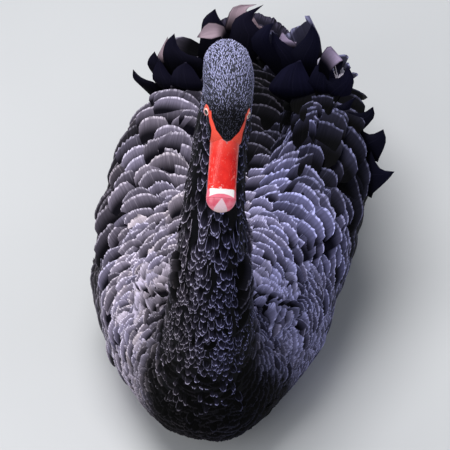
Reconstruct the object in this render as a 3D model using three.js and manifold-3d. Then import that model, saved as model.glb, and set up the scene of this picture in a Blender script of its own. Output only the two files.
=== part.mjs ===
// A life-size black swan (Cygnus atratus) at rest on its belly, as a museum model shows it: neck
// raised in its S, head turned a little, wings folded and lifted so that the curled feathers stand
// up along the back. Millimetres, +Z up. The bird faces -Y and its left side is +X. The origin
// lies on the floor, in the middle of the flat under the belly.
import * as THREE from "three";
import { mergeVertices } from "three/addons/utils/BufferGeometryUtils.js";
import Module from "manifold-3d";

const wasm = await Module();
wasm.setup();

const GAP = 0.3; // between neighbouring pieces
const LEFT = 1;
const RIGHT = -1;
const rad = THREE.MathUtils.degToRad;
const point = (x, y, z) => new THREE.Vector3(x, y, z);

// Body
const BREAST_Y = -273;
const RUMP_Y = 286;
const BODY_SIDES = 26;
const BODY_RINGS = 18;
const BODY_SQUARE = 2.3; // exponent of the body's superellipse sections
// Share of the body's length, height of its axis, reach up, reach down, reach to the side
const BODY = [
  [0.0, 82, 104, 76, 128],
  [0.12, 84, 110, 98, 126],
  [0.24, 88, 106, 102, 137],
  [0.38, 90, 96, 104, 133],
  [0.55, 92, 88, 106, 118],
  [0.7, 96, 84, 98, 102],
  [0.85, 98, 70, 72, 82],
  [1.0, 98, 54, 50, 62],
];
const BREAST_TURN = 11; // the breast's tip leans to the left of the body's axis,
const TAIL_TURN = -11; // and the tail to the right

// Neck: share of its length, centre, half width and half depth
const NECK_SIDES = 24;
const NECK_STEPS = 22;
const NECK_FURROWS = 7; // ropes of feathers that run down the neck
const FURROW_DEPTH = 0.035;
const NECK = [
  [0.0, 8, -125, 82, 62, 62],
  [0.14, 8, -178, 112, 59, 64],
  [0.27, 8, -208, 162, 52, 55],
  [0.41, 10, -208, 222, 42.5, 44],
  [0.55, 10, -190, 283, 35, 36],
  [0.68, 11, -168, 340, 30, 31],
  [0.79, 15, -153, 390, 27.5, 29],
  [0.89, 20, -146, 434, 26.5, 28.5],
  [0.95, 22.5, -146.5, 461, 26, 28.5],
  [1.0, 25, -151, 487, 25, 27.5],
];

// Head, in its own frame: the bill points along -Y from the origin at the bill's base
const HEAD_AT = point(27.5, -224.8, 457.7);
const HEAD_YAW = rad(3.7);
const HEAD_PITCH = rad(32.2);
const HEAD_ROLL = rad(10.6);
const HEAD_FRONT = 12;
const HEAD_BACK = -108;
const FACE_CUT = 2; // where feathers end and the bill begins, forward of the origin
// Share of the head's length, height of its axis, half height, half width
const HEAD = [
  [0.0, 1, 24, 27],
  [0.1, 1.5, 23, 25],
  [0.2, 2.3, 22, 22],
  [0.31, 3, 22, 22.2],
  [0.43, 3.5, 23.2, 23.6],
  [0.57, 2.6, 24.6, 25.6],
  [0.71, -2, 27.6, 28],
  [0.85, -10, 29.6, 31],
  [1.0, -20, 26, 29],
];

// Bill
const BILL_LENGTH = 69.5;
const BILL_BACK = -14; // its root inside the face, cut off at FACE_CUT
const NAIL_LENGTH = 13;
// Distance forward, height of the gape, rise of the culmen above it, half width
const BILL = [
  [-14, -3, 19, 18.5],
  [2, -4, 17, 15.6],
  [15, -5.4, 13.6, 14.6],
  [30, -6.8, 9.6, 14],
  [45, -8, 7.2, 14],
  [58, -8.8, 6, 14.8],
  [66, -10, 5, 15.2],
  [73, -12.6, 4.2, 15.4],
];
const BILL_ROUND_TIP = 0.11; // share of the length that its round end takes
const BILL_SWELL = 0.75; // below 1 makes the sections squarer
const LOWER_BILL_DEPTH = 6.5;
const GAPE_GROOVE = 0.8;
const NOSTRIL_AT = 31;
const NOSTRIL = point(1.6, 5, 1.5);

// Eyes
const EYE_RADIUS = 5.6;
const EYE_AT = point(17.2, 29.5, 5.5);
const LID = point(5.4, 8.8, 7.2);
const LID_AT = point(17.8, 29.2, 5.4);
const EYE_SLIT = point(9, 4.9, 3.9); // the opening between the lids

// Wings: share of the wing's length, centre across, centre height, half width, half height
const WING_FRONT = -188;
const WING_REAR = 262;
const WING_SIDES = 14;
const WING_RINGS = 10;
const WING = [
  [0.0, 82, 108, 50, 74],
  [0.22, 88, 124, 50, 79],
  [0.45, 91, 143, 48, 82],
  [0.6, 84, 147, 46, 84],
  [0.72, 72, 134, 42, 72],
  [0.85, 59, 118, 30, 44],
  [1.0, 52, 112, 22, 28],
];
const WING_SWAY = { [LEFT]: 16, [RIGHT]: 28 }; // both wings swing to the left at their middle

// Feathers. A vane is swept in steps from its root (0) to its tip (1), and its width starts to
// close towards the tip at blunt. lift and bend raise it off what it grows from, in radians.
const VANE_THICK = 1.3;
const TIP_THICK = 0.7;
const ROOT_WIDTH = 0.5; // share of the full width
const TIP_WIDTH = 0.16;
const STRAIGHT_STEPS = [0, 0.4, 0.72, 0.91, 1];
const CURLED_STEPS = [0, 0.25, 0.48, 0.68, 0.86, 1];
const COVERT = { rows: 4, inRow: 5, from: 0.1, apart: 0.14, length: 74, width: 56, blunt: 0.5, sink: 4 };
const COVERT_SPREAD = { inner: 152, outer: -44 }; // degrees up the wing's side
const TERTIAL = { count: 7, length: 84, width: 40, lift: 0.4, camber: 0.3, blunt: 0.25, sink: 5 };
const TERTIAL_SPREAD = { inner: 120, outer: { [LEFT]: 22, [RIGHT]: 74 } };
const FLIGHT = { count: 6, length: 158, width: 38, lift: 0.05, bend: -0.1, blunt: 0.6, sink: 4 };
const FLIGHT_SPREAD = { inner: 112, outer: -12 };
const RECTRIX = { count: 9, length: 96, width: 28, lift: 0.02, bend: 0.06, blunt: 0.62, sink: 4 };
const TAIL_ROOT = point(-12, 268, 90);
const TAIL_CORE = point(28, 34, 15);
const TAIL_WIDTH = 28;
const TAIL_SPREAD = rad(21);

// Legs and feet
const TOE_RADIUS = 4.2;
const TOE_SIDES = 6;
const WEB_THICK = 2.4;
const FOOT_BASE = point(70, 152, 6);
const TOE_TIPS = [point(57, 76, 4.2), point(82, 62, 4.2), point(107, 78, 4.2)];
const LEG_RADIUS = 7;
const LEG_PATH = [
  point(70, 156, 13),
  point(65, 188, 19),
  point(58, 216, 30),
  point(50, 212, 46),
  point(42, 188, 58),
];

// A repeatable random number from 0 to 1 for each call
function seeded(seed) {
  let state = seed;
  return () => {
    state = (state * 1664525 + 1013904223) % 4294967296;
    return state / 4294967296;
  };
}

// A smooth curve through rows of [place, value, value, ...]
function through(rows) {
  const slope = (k, c) => {
    const a = rows[Math.max(k - 1, 0)];
    const b = rows[Math.min(k + 1, rows.length - 1)];
    return (b[c] - a[c]) / (b[0] - a[0]);
  };
  return (place) => {
    let k = 0;
    while (k < rows.length - 2 && place > rows[k + 1][0]) k += 1;
    const [from, to] = [rows[k], rows[k + 1]];
    const span = to[0] - from[0];
    const t = THREE.MathUtils.clamp((place - from[0]) / span, 0, 1);
    const [t2, t3] = [t * t, t * t * t];
    return from.slice(1).map((value, i) => {
      const c = i + 1;
      return (
        (2 * t3 - 3 * t2 + 1) * value +
        (t3 - 2 * t2 + t) * span * slope(k, c) +
        (3 * t2 - 2 * t3) * to[c] +
        (t3 - t2) * span * slope(k + 1, c)
      );
    });
  };
}

// Solids and booleans
function solid(geometry, matrix = new THREE.Matrix4()) {
  const bare = geometry.clone().applyMatrix4(matrix);
  bare.deleteAttribute("normal");
  bare.deleteAttribute("uv");
  const merged = mergeVertices(bare, 1e-3);
  return new wasm.Manifold(
    new wasm.Mesh({
      numProp: 3,
      vertProperties: merged.attributes.position.array,
      triVerts: new Uint32Array(merged.index.array),
    }),
  );
}

function largest(made) {
  return made.decompose().sort((a, b) => b.volume() - a.volume())[0];
}

function geometryOf(made) {
  const mesh = made.getMesh();
  return new THREE.BufferGeometry()
    .setAttribute("position", new THREE.BufferAttribute(mesh.vertProperties, 3))
    .setIndex(new THREE.BufferAttribute(mesh.triVerts, 1));
}

const join = (solids) => solids.reduce((whole, next) => whole.add(next));

// A sphere's vertices moved by place(share along, sine of the latitude, angle round)
function reshapedSphere(sides, rings, place) {
  const geometry = new THREE.SphereGeometry(1, sides, rings);
  const at = geometry.attributes.position;
  for (let i = 0; i < at.count; i += 1) {
    const along = THREE.MathUtils.clamp(at.getY(i), -1, 1);
    const round = Math.sqrt(1 - along * along);
    const angle = Math.atan2(at.getX(i), at.getZ(i));
    const moved = place((1 - along) / 2, round, angle);
    at.setXYZ(i, moved.x, moved.y, moved.z);
  }
  return geometry;
}

// One coordinate of a superellipse
const rounded = (value, exponent) => Math.sign(value) * Math.abs(value) ** (2 / exponent);

// Body, grown outwards by a margin where a neighbour has to clear it
const bodyAt = through(BODY);

function body(margin = 0) {
  return reshapedSphere(BODY_SIDES, BODY_RINGS, (share, round, angle) => {
    const [axis, up, down, side] = bodyAt(share);
    const across = rounded(Math.cos(angle), BODY_SQUARE);
    const rise = rounded(Math.sin(angle), BODY_SQUARE);
    const reach = rise > 0 ? up : down;
    const y = THREE.MathUtils.lerp(BREAST_Y - margin, RUMP_Y + margin, share);
    const z = axis + rise * round * (reach + margin);
    const atBreast = Math.max(0, 1 - share / 0.18);
    const atTail = Math.max(0, (share - 0.6) / 0.4);
    const lean = BREAST_TURN * atBreast ** 1.5 + TAIL_TURN * atTail;
    return point(lean + across * round * (side + margin), y, Math.max(z, 0));
  });
}

// Neck, a closed tube whose ends lie inside the body and the head
const neckAt = through(NECK);

function neckFrame(share) {
  const [x, y, z, halfWidth, halfDepth] = neckAt(share);
  const step = 0.01;
  const ahead = point(...neckAt(Math.min(share + step, 1)).slice(0, 3));
  const behind = point(...neckAt(Math.max(share - step, 0)).slice(0, 3));
  const up = ahead.sub(behind).normalize();
  const side = point(1, 0, 0).addScaledVector(up, -up.x).normalize();
  const front = point(0, 0, 0).crossVectors(side, up);
  return { centre: point(x, y, z), up, side, front, halfWidth, halfDepth };
}

function neck(margin = 0) {
  const geometry = new THREE.CylinderGeometry(1, 1, 1, NECK_SIDES, NECK_STEPS);
  const at = geometry.attributes.position;
  for (let i = 0; i < at.count; i += 1) {
    const share = at.getY(i) + 0.5;
    const { centre, side, front, halfWidth, halfDepth } = neckFrame(share);
    const radius = Math.hypot(at.getX(i), at.getZ(i));
    const angle = Math.atan2(at.getZ(i), at.getX(i));
    const rope = 1 + FURROW_DEPTH * Math.cos(NECK_FURROWS * angle + 3 * share);
    centre.addScaledVector(side, radius * Math.cos(angle) * (halfWidth * rope + margin));
    centre.addScaledVector(front, radius * Math.sin(angle) * (halfDepth * rope + margin));
    at.setXYZ(i, centre.x, centre.y, centre.z);
  }
  return geometry;
}

// Head's own frame: x to the bird's left, y backwards from the bill's base, z up
const headPose = new THREE.Matrix4()
  .makeRotationFromEuler(new THREE.Euler(HEAD_PITCH, HEAD_ROLL, HEAD_YAW, "ZXY"))
  .setPosition(HEAD_AT);

function head() {
  const headAt = through(HEAD);
  return reshapedSphere(22, 16, (share, round, angle) => {
    const [axis, halfHeight, halfWidth] = headAt(share);
    const forward = THREE.MathUtils.lerp(HEAD_FRONT, HEAD_BACK, share);
    const rise = axis + Math.sin(angle) * halfHeight * round;
    return point(Math.cos(angle) * halfWidth * round, -forward, rise);
  });
}

// Both halves of the bill run from inside the face to a round tip, and meet along the gape
const billAt = through(BILL);

function billHalf(upper, shrink) {
  return reshapedSphere(18, 14, (share, round, angle) => {
    const forward = THREE.MathUtils.lerp(BILL_LENGTH - shrink, BILL_BACK, share);
    const [gape, rise, halfWidth] = billAt(forward);
    const nearTip = Math.min(1, share / BILL_ROUND_TIP);
    const nearRoot = Math.min(1, (1 - share) * 20 + round);
    const open = Math.max(Math.sqrt(nearTip * (2 - nearTip)), round / 2) * nearRoot;
    const outwards = upper ? Math.sin(angle) : -Math.sin(angle);
    const swell = Math.max(outwards, 0) ** BILL_SWELL * (upper ? rise : LOWER_BILL_DEPTH) * open;
    const lip = GAP / 2 + GAPE_GROOVE * Math.max(-outwards, 0);
    const height = outwards > 0 ? swell + GAP / 2 : lip;
    return point(Math.cos(angle) * (halfWidth - shrink) * open, -forward, gape + (upper ? height : -height));
  });
}

// A block ahead of (or behind) a place along the bill, to cut faces square
function block(fromForward, toForward) {
  const size = 120;
  const length = toForward - fromForward;
  return solid(new THREE.BoxGeometry(size, length, size).translate(0, -(fromForward + length / 2), 0));
}

// A feather vane: a thin plate with its root sunk in, bent and twisted towards its tip.
// root, lie and face are its place, direction and upper side.
function vane(shape) {
  const { root, lie, face, length, width, lift, sink, blunt } = shape;
  const { bend = 0, twist = 0, camber = 0, roll = 0, steps = STRAIGHT_STEPS } = shape;
  const columns = camber ? 2 : 1;
  const sheet = new THREE.PlaneGeometry(1, 1, columns, steps.length - 1);
  const up = face.clone().addScaledVector(lie, -face.dot(lie)).normalize().applyAxisAngle(lie, roll);
  const side = point(0, 0, 0).crossVectors(lie, up).normalize();
  const ahead = lie.clone().applyAxisAngle(side, lift);
  up.applyAxisAngle(side, lift);
  const along = root.clone().addScaledVector(face, -sink);
  const rows = [];
  steps.forEach((t, i) => {
    if (i) {
      const part = t - steps[i - 1];
      const turn = bend * part * 2 * t;
      ahead.applyAxisAngle(side, turn);
      up.applyAxisAngle(side, turn);
      const spin = twist * part * 2 * t;
      side.applyAxisAngle(ahead, spin);
      up.applyAxisAngle(ahead, spin);
      along.addScaledVector(ahead, length * part);
    }
    const taper = Math.max(0, (t - blunt) / (1 - blunt));
    const open = Math.min(1, ROOT_WIDTH + 1.6 * t);
    const halfWidth = (width / 2) * open * Math.max(Math.sqrt(1 - taper ** 2.4), TIP_WIDTH);
    const thick = THREE.MathUtils.lerp(VANE_THICK, TIP_THICK, t);
    for (let c = 0; c <= columns; c += 1) {
      const x = c / columns - 0.5;
      const arch = camber * halfWidth * (1 - 4 * x * x);
      const middle = along.clone().addScaledVector(side, 2 * x * halfWidth).addScaledVector(up, arch);
      rows.push([
        middle.clone().addScaledVector(up, thick / 2),
        middle.clone().addScaledVector(up, -thick / 2),
      ]);
    }
  });
  return plate(sheet, columns, rows);
}

// A closed plate from a flat sheet, with the same triangles on both faces
function plate(sheet, columns, rows) {
  const count = rows.length;
  const positions = [];
  rows.forEach(([top]) => positions.push(top.x, top.y, top.z));
  rows.forEach(([, under]) => positions.push(under.x, under.y, under.z));
  const index = [];
  const flat = sheet.index.array;
  for (let i = 0; i < flat.length; i += 3) {
    const [a, b, c] = [flat[i], flat[i + 1], flat[i + 2]];
    index.push(a, b, c, a + count, c + count, b + count);
  }
  const across = columns + 1;
  const rim = [];
  for (let c = 0; c < columns; c += 1) rim.push(c);
  for (let r = 0; r < count / across - 1; r += 1) rim.push(r * across + columns);
  for (let c = columns; c > 0; c -= 1) rim.push(count - across + c);
  for (let r = count / across - 1; r > 0; r -= 1) rim.push(r * across);
  rim.forEach((a, i) => {
    const b = rim[(i + 1) % rim.length];
    index.push(a, b, a + count, b, b + count, a + count);
  });
  const made = new THREE.BufferGeometry();
  made.setAttribute("position", new THREE.Float32BufferAttribute(positions, 3));
  made.setIndex(index);
  const triangles = solid(made.toNonIndexed());
  if (triangles.volume() > 0) return triangles;
  for (let i = 0; i < index.length; i += 3) [index[i + 1], index[i + 2]] = [index[i + 2], index[i + 1]];
  made.setIndex(index);
  return solid(made.toNonIndexed());
}

// The folded wing's own surface: a place, its outward face and its backward lie
const wingAt = through(WING);

function wingPoint(side, share, angle) {
  const [across, height, halfWidth, halfHeight] = wingAt(share);
  const round = 2 * Math.sqrt(Math.max(share * (1 - share), 0));
  const sway = WING_SWAY[side] * Math.sin(Math.PI * share * share);
  return point(
    sway + side * (across + Math.cos(angle) * halfWidth * round),
    THREE.MathUtils.lerp(WING_FRONT, WING_REAR, share),
    height + Math.sin(angle) * halfHeight * round,
  );
}

function wingPlace(side, share, angle) {
  const step = 0.02;
  const root = wingPoint(side, share, angle);
  const lie = wingPoint(side, share + step, angle).sub(wingPoint(side, share - step, angle)).normalize();
  const over = wingPoint(side, share, angle + step).sub(wingPoint(side, share, angle - step)).normalize();
  const face = point(0, 0, 0).crossVectors(lie, over).multiplyScalar(-side).normalize();
  if (face.z < 0 && Math.sin(angle) > 0.2) face.negate();
  return { root, lie, over, face };
}

function wingCore(side) {
  return reshapedSphere(WING_SIDES, WING_RINGS, (share, round, angle) =>
    wingPoint(side, THREE.MathUtils.clamp(share, 0, 1), side * angle + (side < 0 ? Math.PI : 0)),
  );
}

// Scapulars and coverts in tiers, small at the shoulder and large behind
function coverts(side, random) {
  const made = [];
  for (let row = 0; row < COVERT.rows; row += 1) {
    for (let n = 0; n < COVERT.inRow; n += 1) {
      const place = (n + (row % 2) / 2 + 0.1 * (random() - 0.5)) / COVERT.inRow;
      const angle = rad(THREE.MathUtils.lerp(COVERT_SPREAD.inner, COVERT_SPREAD.outer, place));
      const { root, lie, over, face } = wingPlace(side, COVERT.from + row * COVERT.apart, angle);
      const fan = (0.12 + 0.16 * (random() - 0.5)) * Math.cos(angle);
      made.push(
        vane({
          ...COVERT,
          root,
          lie: lie.addScaledVector(over, fan).normalize(),
          face,
          length: COVERT.length + 3 * row + 5 * random(),
          width: COVERT.width + 2 * row,
          bend: -0.08 * random(),
          lift: 0.15 + 0.02 * random(),
          roll: 0.26 * side,
        }),
      );
    }
  }
  return made;
}

// Curled tertials that stand up along the top and the rear of the wing
function tertials(side, random) {
  const made = [];
  for (let n = 0; n < TERTIAL.count; n += 1) {
    const place = n / (TERTIAL.count - 1);
    const turned = (TERTIAL_SPREAD.inner - TERTIAL_SPREAD.outer[side]) * place;
    const share = 0.67 - 0.0027 * turned + 0.025 * (n % 2);
    const { root, lie, face } = wingPlace(side, share, rad(TERTIAL_SPREAD.inner - turned));
    made.push(
      vane({
        ...TERTIAL,
        root,
        lie: lie.add(point(side * (0.25 * place - 0.15), 0, 0.25)).normalize(),
        face: face.multiplyScalar(0.5).add(point(0, 0, 0.9)).normalize(),
        length: TERTIAL.length + 14 * random(),
        width: TERTIAL.width + 8 * random(),
        bend: 0.85 + 0.4 * random(),
        twist: (n % 2 ? 1 : -1) * (0.3 + 0.4 * random()),
        steps: CURLED_STEPS,
      }),
    );
  }
  return made;
}

// White flight feathers, closed over one another from the middle of the wing to beside the rump
function flightFeathers(side) {
  const made = [];
  for (let n = 0; n < FLIGHT.count; n += 1) {
    const place = n / (FLIGHT.count - 1);
    const angle = rad(THREE.MathUtils.lerp(FLIGHT_SPREAD.inner, FLIGHT_SPREAD.outer, place));
    const { root, lie, face } = wingPlace(side, 0.64 + 0.06 * place, angle);
    const backwards = point(-side * (0.05 + 0.12 * place), 1.2, -0.42 + 0.3 * place);
    made.push(
      vane({
        ...FLIGHT,
        root,
        lie: lie.add(backwards).normalize(),
        face,
        length: FLIGHT.length + 10 * place,
        roll: 0.34 * side,
      }),
    );
  }
  return made;
}

function wing(side, clear) {
  const random = seeded(side === LEFT ? 11 : 29);
  const feathers = [...coverts(side, random), ...tertials(side, random), ...flightFeathers(side)];
  const across = new THREE.BoxGeometry(200, 900, 900).translate(-side * (100 - GAP), 0, 0);
  const whole = join([solid(wingCore(side)), ...feathers]).subtract(solid(across));
  return largest(clear.reduce((left, cutter) => left.subtract(cutter), whole));
}

// Tail: a short fan on a root that carries it
function tail(clear) {
  const core = new THREE.SphereGeometry(1, 16, 10).scale(TAIL_CORE.x, TAIL_CORE.y, TAIL_CORE.z);
  const fan = [];
  for (let n = 0; n < RECTRIX.count; n += 1) {
    const place = (2 * n) / (RECTRIX.count - 1) - 1;
    const lie = point(Math.sin(place * TAIL_SPREAD), Math.cos(place * TAIL_SPREAD), 0.04).normalize();
    const step = point((place * TAIL_WIDTH) / 2, 0, 7 - 10 * place * place + 1.6 * (n % 2));
    fan.push(
      vane({
        ...RECTRIX,
        root: TAIL_ROOT.clone().add(step),
        lie,
        face: point(-0.06 * place, -0.1, 1).normalize(),
        length: RECTRIX.length - 15 * place * place,
      }),
    );
  }
  const whole = join([solid(core.translate(TAIL_ROOT.x, TAIL_ROOT.y - 4, TAIL_ROOT.z)), ...fan]);
  return largest(clear.reduce((left, cutter) => left.subtract(cutter), whole));
}

// Thin slab that parts a piece in two, square to a direction
function parting(centre, direction, width, depth) {
  const turn = new THREE.Quaternion().setFromUnitVectors(point(0, 0, 1), direction);
  const pose = new THREE.Matrix4().compose(centre, turn, point(1, 1, 1));
  return solid(new THREE.BoxGeometry(width, depth, GAP), pose);
}

// A straight round bar with a flat underside on the floor
function toe(from, to) {
  const path = new THREE.LineCurve3(from, to);
  const outline = new THREE.Shape();
  for (let i = 0; i < TOE_SIDES; i += 1) {
    const angle = ((2 * i + 1) * Math.PI) / TOE_SIDES;
    const [x, y] = [TOE_RADIUS * Math.cos(angle), TOE_RADIUS * Math.sin(angle)];
    if (i) outline.lineTo(x, y);
    else outline.moveTo(x, y);
  }
  return solid(new THREE.ExtrudeGeometry(outline, { steps: 1, extrudePath: path }));
}

function foot(side, clear) {
  const mirror = (p) => point(side * p.x, p.y, p.z);
  const toes = TOE_TIPS.map((tip) => toe(mirror(FOOT_BASE), mirror(tip)));
  const balls = [FOOT_BASE, ...TOE_TIPS].map((at) =>
    solid(new THREE.SphereGeometry(TOE_RADIUS * 1.25, TOE_SIDES, 4).translate(side * at.x, at.y, TOE_RADIUS)),
  );
  const web = new THREE.Shape();
  web.moveTo(side * FOOT_BASE.x, FOOT_BASE.y);
  TOE_TIPS.forEach((tip, i) => {
    web.lineTo(side * tip.x, tip.y + 4);
    const next = TOE_TIPS[i + 1];
    if (next) web.lineTo((side * (tip.x + next.x)) / 2, (tip.y + next.y) / 2 + 14);
  });
  const skin = new THREE.ExtrudeGeometry(web, { depth: WEB_THICK, bevelEnabled: false });
  const floor = solid(new THREE.BoxGeometry(400, 400, 40).translate(0, 100, -20));
  const made = join([...toes, ...balls, solid(skin)]).subtract(floor);
  return largest(clear.reduce((left, cutter) => left.subtract(cutter), made));
}

function leg(side, clear) {
  const path = new THREE.CatmullRomCurve3(LEG_PATH.map((p) => point(side * p.x, p.y, p.z)));
  const section = new THREE.Shape().absarc(0, 0, LEG_RADIUS, 0, 2 * Math.PI);
  const tube = new THREE.ExtrudeGeometry(section, { steps: 10, curveSegments: 5, extrudePath: path });
  return largest(clear.reduce((left, cutter) => left.subtract(cutter), solid(tube)));
}

// Materials
const finish = (color, roughness) => new THREE.MeshStandardMaterial({ color, roughness, metalness: 0 });
const blackFeather = finish(0x1d1c21, 0.75);
const neckFeather = finish(0x131317, 0.8);
const crownFeather = finish(0x2c2d35, 0.85);
const redBill = finish(0xd0241f, 0.35);
const paleNail = finish(0xe9b8bb, 0.4);
const darkEye = finish(0x1a0d0a, 0.1);
const redLid = finish(0xc23a2e, 0.5);
const blackSkin = finish(0x1c1b1b, 0.6);

const swan = new THREE.Group();

function place(name, made, material, pose) {
  const mesh = new THREE.Mesh(geometryOf(made), material);
  mesh.name = name;
  if (pose) mesh.applyMatrix4(pose);
  swan.add(mesh);
}

// Body, neck and head are one form, parted by thin cuts across the neck
const eyeSolid = (side, grow) =>
  solid(new THREE.SphereGeometry(EYE_RADIUS + grow, 12, 8).translate(side * EYE_AT.x, EYE_AT.y, EYE_AT.z));
const lidSolid = (side, grow) =>
  solid(
    new THREE.SphereGeometry(1, 12, 6)
      .scale(LID.x + grow, LID.y + grow, LID.z + grow)
      .translate(side * LID_AT.x, LID_AT.y, LID_AT.z),
  );
const face = [LEFT, RIGHT].reduce(
  (left, side) => left.subtract(eyeSolid(side, GAP)).subtract(lidSolid(side, GAP)),
  solid(head()).subtract(block(FACE_CUT - GAP, 60)),
);
const base = neckFrame(0.31);
const middle = neckFrame(0.62);
const throat = neckFrame(0.9);
const form = join([solid(body()), solid(neck()), face.transform(headPose.toArray())])
  .subtract(parting(base.centre, base.up, 130, 118))
  .subtract(parting(middle.centre, middle.up, 110, 110))
  .subtract(parting(throat.centre, throat.up, 110, 96));
const highest = (made) => made.boundingBox().max[2];
const pieces = form
  .decompose()
  .filter((piece) => piece.volume() > 1000)
  .sort((a, b) => highest(b) - highest(a));
place("head", pieces[0], crownFeather);
place("neck_upper", pieces[1], neckFeather);
place("neck_lower", pieces[2], neckFeather);
place("torso", pieces[3], blackFeather);

const upper = solid(billHalf(true, 0)).intersect(block(FACE_CUT, 100));
const lower = solid(billHalf(false, 1.6)).intersect(block(FACE_CUT, 100));
const pits = [LEFT, RIGHT].map((side) => {
  const [gape, rise, halfWidth] = billAt(NOSTRIL_AT);
  const pit = new THREE.SphereGeometry(1, 10, 8).scale(NOSTRIL.x * 2, NOSTRIL.y, NOSTRIL.z);
  return solid(pit.translate(side * (halfWidth * 0.72), -NOSTRIL_AT, gape + rise * 0.72));
});
const pierced = pits.reduce((left, pit) => left.subtract(pit), upper);
const nailFrom = BILL_LENGTH - NAIL_LENGTH;
place("bill_upper", largest(pierced.subtract(block(nailFrom, 100))), redBill, headPose);
place("bill_nail", largest(pierced.intersect(block(nailFrom + GAP, 100))), paleNail, headPose);
place("bill_lower", largest(lower), redBill, headPose);
[
  ["left", LEFT],
  ["right", RIGHT],
].forEach(([name, side]) => {
  const bodyGap = solid(body(GAP));
  const neckGap = solid(neck(GAP));
  place(`eye_${name}`, eyeSolid(side, 0), darkEye, headPose);
  const slit = new THREE.SphereGeometry(1, 10, 6).scale(EYE_SLIT.x, EYE_SLIT.y, EYE_SLIT.z);
  const opening = solid(slit.translate(side * (EYE_AT.x + EYE_RADIUS), EYE_AT.y, EYE_AT.z));
  const lid = lidSolid(side, 0).subtract(eyeSolid(side, GAP)).subtract(opening);
  place(`eyelid_${name}`, largest(lid), redLid, headPose);
  const legSolid = leg(side, [bodyGap]);
  place(`leg_${name}`, legSolid, blackSkin);
  place(`foot_${name}`, foot(side, [bodyGap, leg(side, [bodyGap])]), blackSkin);
  place(`wing_${name}`, wing(side, [bodyGap, neckGap]), blackFeather);
});
place("tail", tail([solid(body(GAP))]), blackFeather);

export default swan;
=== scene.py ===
import math

import bmesh
import bpy
import numpy as np
from mathutils import Matrix, Vector
from mathutils.bvhtree import BVHTree
from mathutils.kdtree import KDTree


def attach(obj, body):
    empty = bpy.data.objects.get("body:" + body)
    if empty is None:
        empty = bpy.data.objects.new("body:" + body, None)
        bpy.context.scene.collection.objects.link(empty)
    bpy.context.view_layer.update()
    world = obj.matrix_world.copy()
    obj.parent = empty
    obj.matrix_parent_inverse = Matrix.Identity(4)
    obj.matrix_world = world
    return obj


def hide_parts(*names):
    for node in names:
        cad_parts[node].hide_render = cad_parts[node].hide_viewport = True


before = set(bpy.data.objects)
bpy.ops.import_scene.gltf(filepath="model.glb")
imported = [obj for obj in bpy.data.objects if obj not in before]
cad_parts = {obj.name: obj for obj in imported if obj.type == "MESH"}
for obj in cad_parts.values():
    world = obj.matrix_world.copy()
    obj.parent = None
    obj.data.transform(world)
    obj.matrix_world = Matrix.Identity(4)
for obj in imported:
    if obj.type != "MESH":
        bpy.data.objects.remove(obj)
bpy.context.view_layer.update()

# Camera. The photograph was taken from ahead of the swan, a little to its left and from well
# above it, through a long lens.
VIEW_AZIMUTH = math.radians(7)
VIEW_ELEVATION = math.radians(45)
VIEW_DISTANCE = 3.35
VIEW_TARGET = Vector((0.0137, -0.1140, 0.2300))
view_back = Vector(
    (
        math.sin(VIEW_AZIMUTH) * math.cos(VIEW_ELEVATION),
        -math.cos(VIEW_AZIMUTH) * math.cos(VIEW_ELEVATION),
        math.sin(VIEW_ELEVATION),
    )
)
camera = bpy.data.objects.new("camera", bpy.data.cameras.new("camera"))
camera.data.lens = 256.8
camera.data.sensor_width = 36
camera.data.clip_end = 20
camera.location = VIEW_TARGET + view_back * VIEW_DISTANCE
camera.rotation_euler = (-view_back).to_track_quat("-Z", "Y").to_euler()
bpy.context.scene.collection.objects.link(camera)
bpy.context.scene.camera = camera


# Wings: folded and lifted, each swelling out of the body as a long rounded form. Their forms are
# one with the skin, so that the plumage runs over them from the back without a break.
WING_FRONT = -0.188
WING_REAR = 0.262
WING_SWAY = {"left": 0.016, "right": 0.028}
SIDES = {"left": 1, "right": -1}


def through(rows):
    """A smooth curve through rows of [place, value, value, ...]"""
    rows = np.array(rows, float)
    at, values = rows[:, 0], rows[:, 1:]
    before = np.maximum(np.arange(len(rows)) - 1, 0)
    after = np.minimum(np.arange(len(rows)) + 1, len(rows) - 1)
    slope = (values[after] - values[before]) / (at[after] - at[before])[:, None]

    def read(place):
        place = np.asarray(place, float)
        k = np.clip(np.searchsorted(at, place, "right") - 1, 0, len(at) - 2)
        span = (at[k + 1] - at[k])[..., None]
        t = np.clip((place[..., None] - at[k][..., None]) / span, 0, 1)
        first = (2 * t**3 - 3 * t**2 + 1) * values[k] + (t**3 - 2 * t**2 + t) * span * slope[k]
        return first + (3 * t**2 - 2 * t**3) * values[k + 1] + (t**3 - t**2) * span * slope[k + 1]

    return read


# Share of the wing's length, centre across, centre height, half width and half height, in
# millimetres
WING_FORM = through(
    [
        [0.0, 82, 108, 50, 74],
        [0.22, 88, 124, 50, 79],
        [0.45, 91, 143, 48, 82],
        [0.6, 84, 147, 46, 84],
        [0.72, 72, 134, 42, 72],
        [0.85, 59, 118, 30, 44],
        [1.0, 52, 112, 22, 28],
    ]
)


def wing_point(side, share, angle):
    """A place on the folded wing: share of its length, and angle up from its outer side"""
    share, angle = np.broadcast_arrays(np.asarray(share, float), np.asarray(angle, float))
    across, height, half_width, half_height = np.moveaxis(WING_FORM(share) * 0.001, -1, 0)
    opened = 2 * np.sqrt(np.maximum(share * (1 - share), 0))
    sway = WING_SWAY[side] * np.sin(np.pi * share**2)
    x = sway + SIDES[side] * (across + np.cos(angle) * half_width * opened)
    y = WING_FRONT + (WING_REAR - WING_FRONT) * share
    z = height + np.sin(angle) * half_height * opened
    return np.stack([x, y, z], -1)


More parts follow.
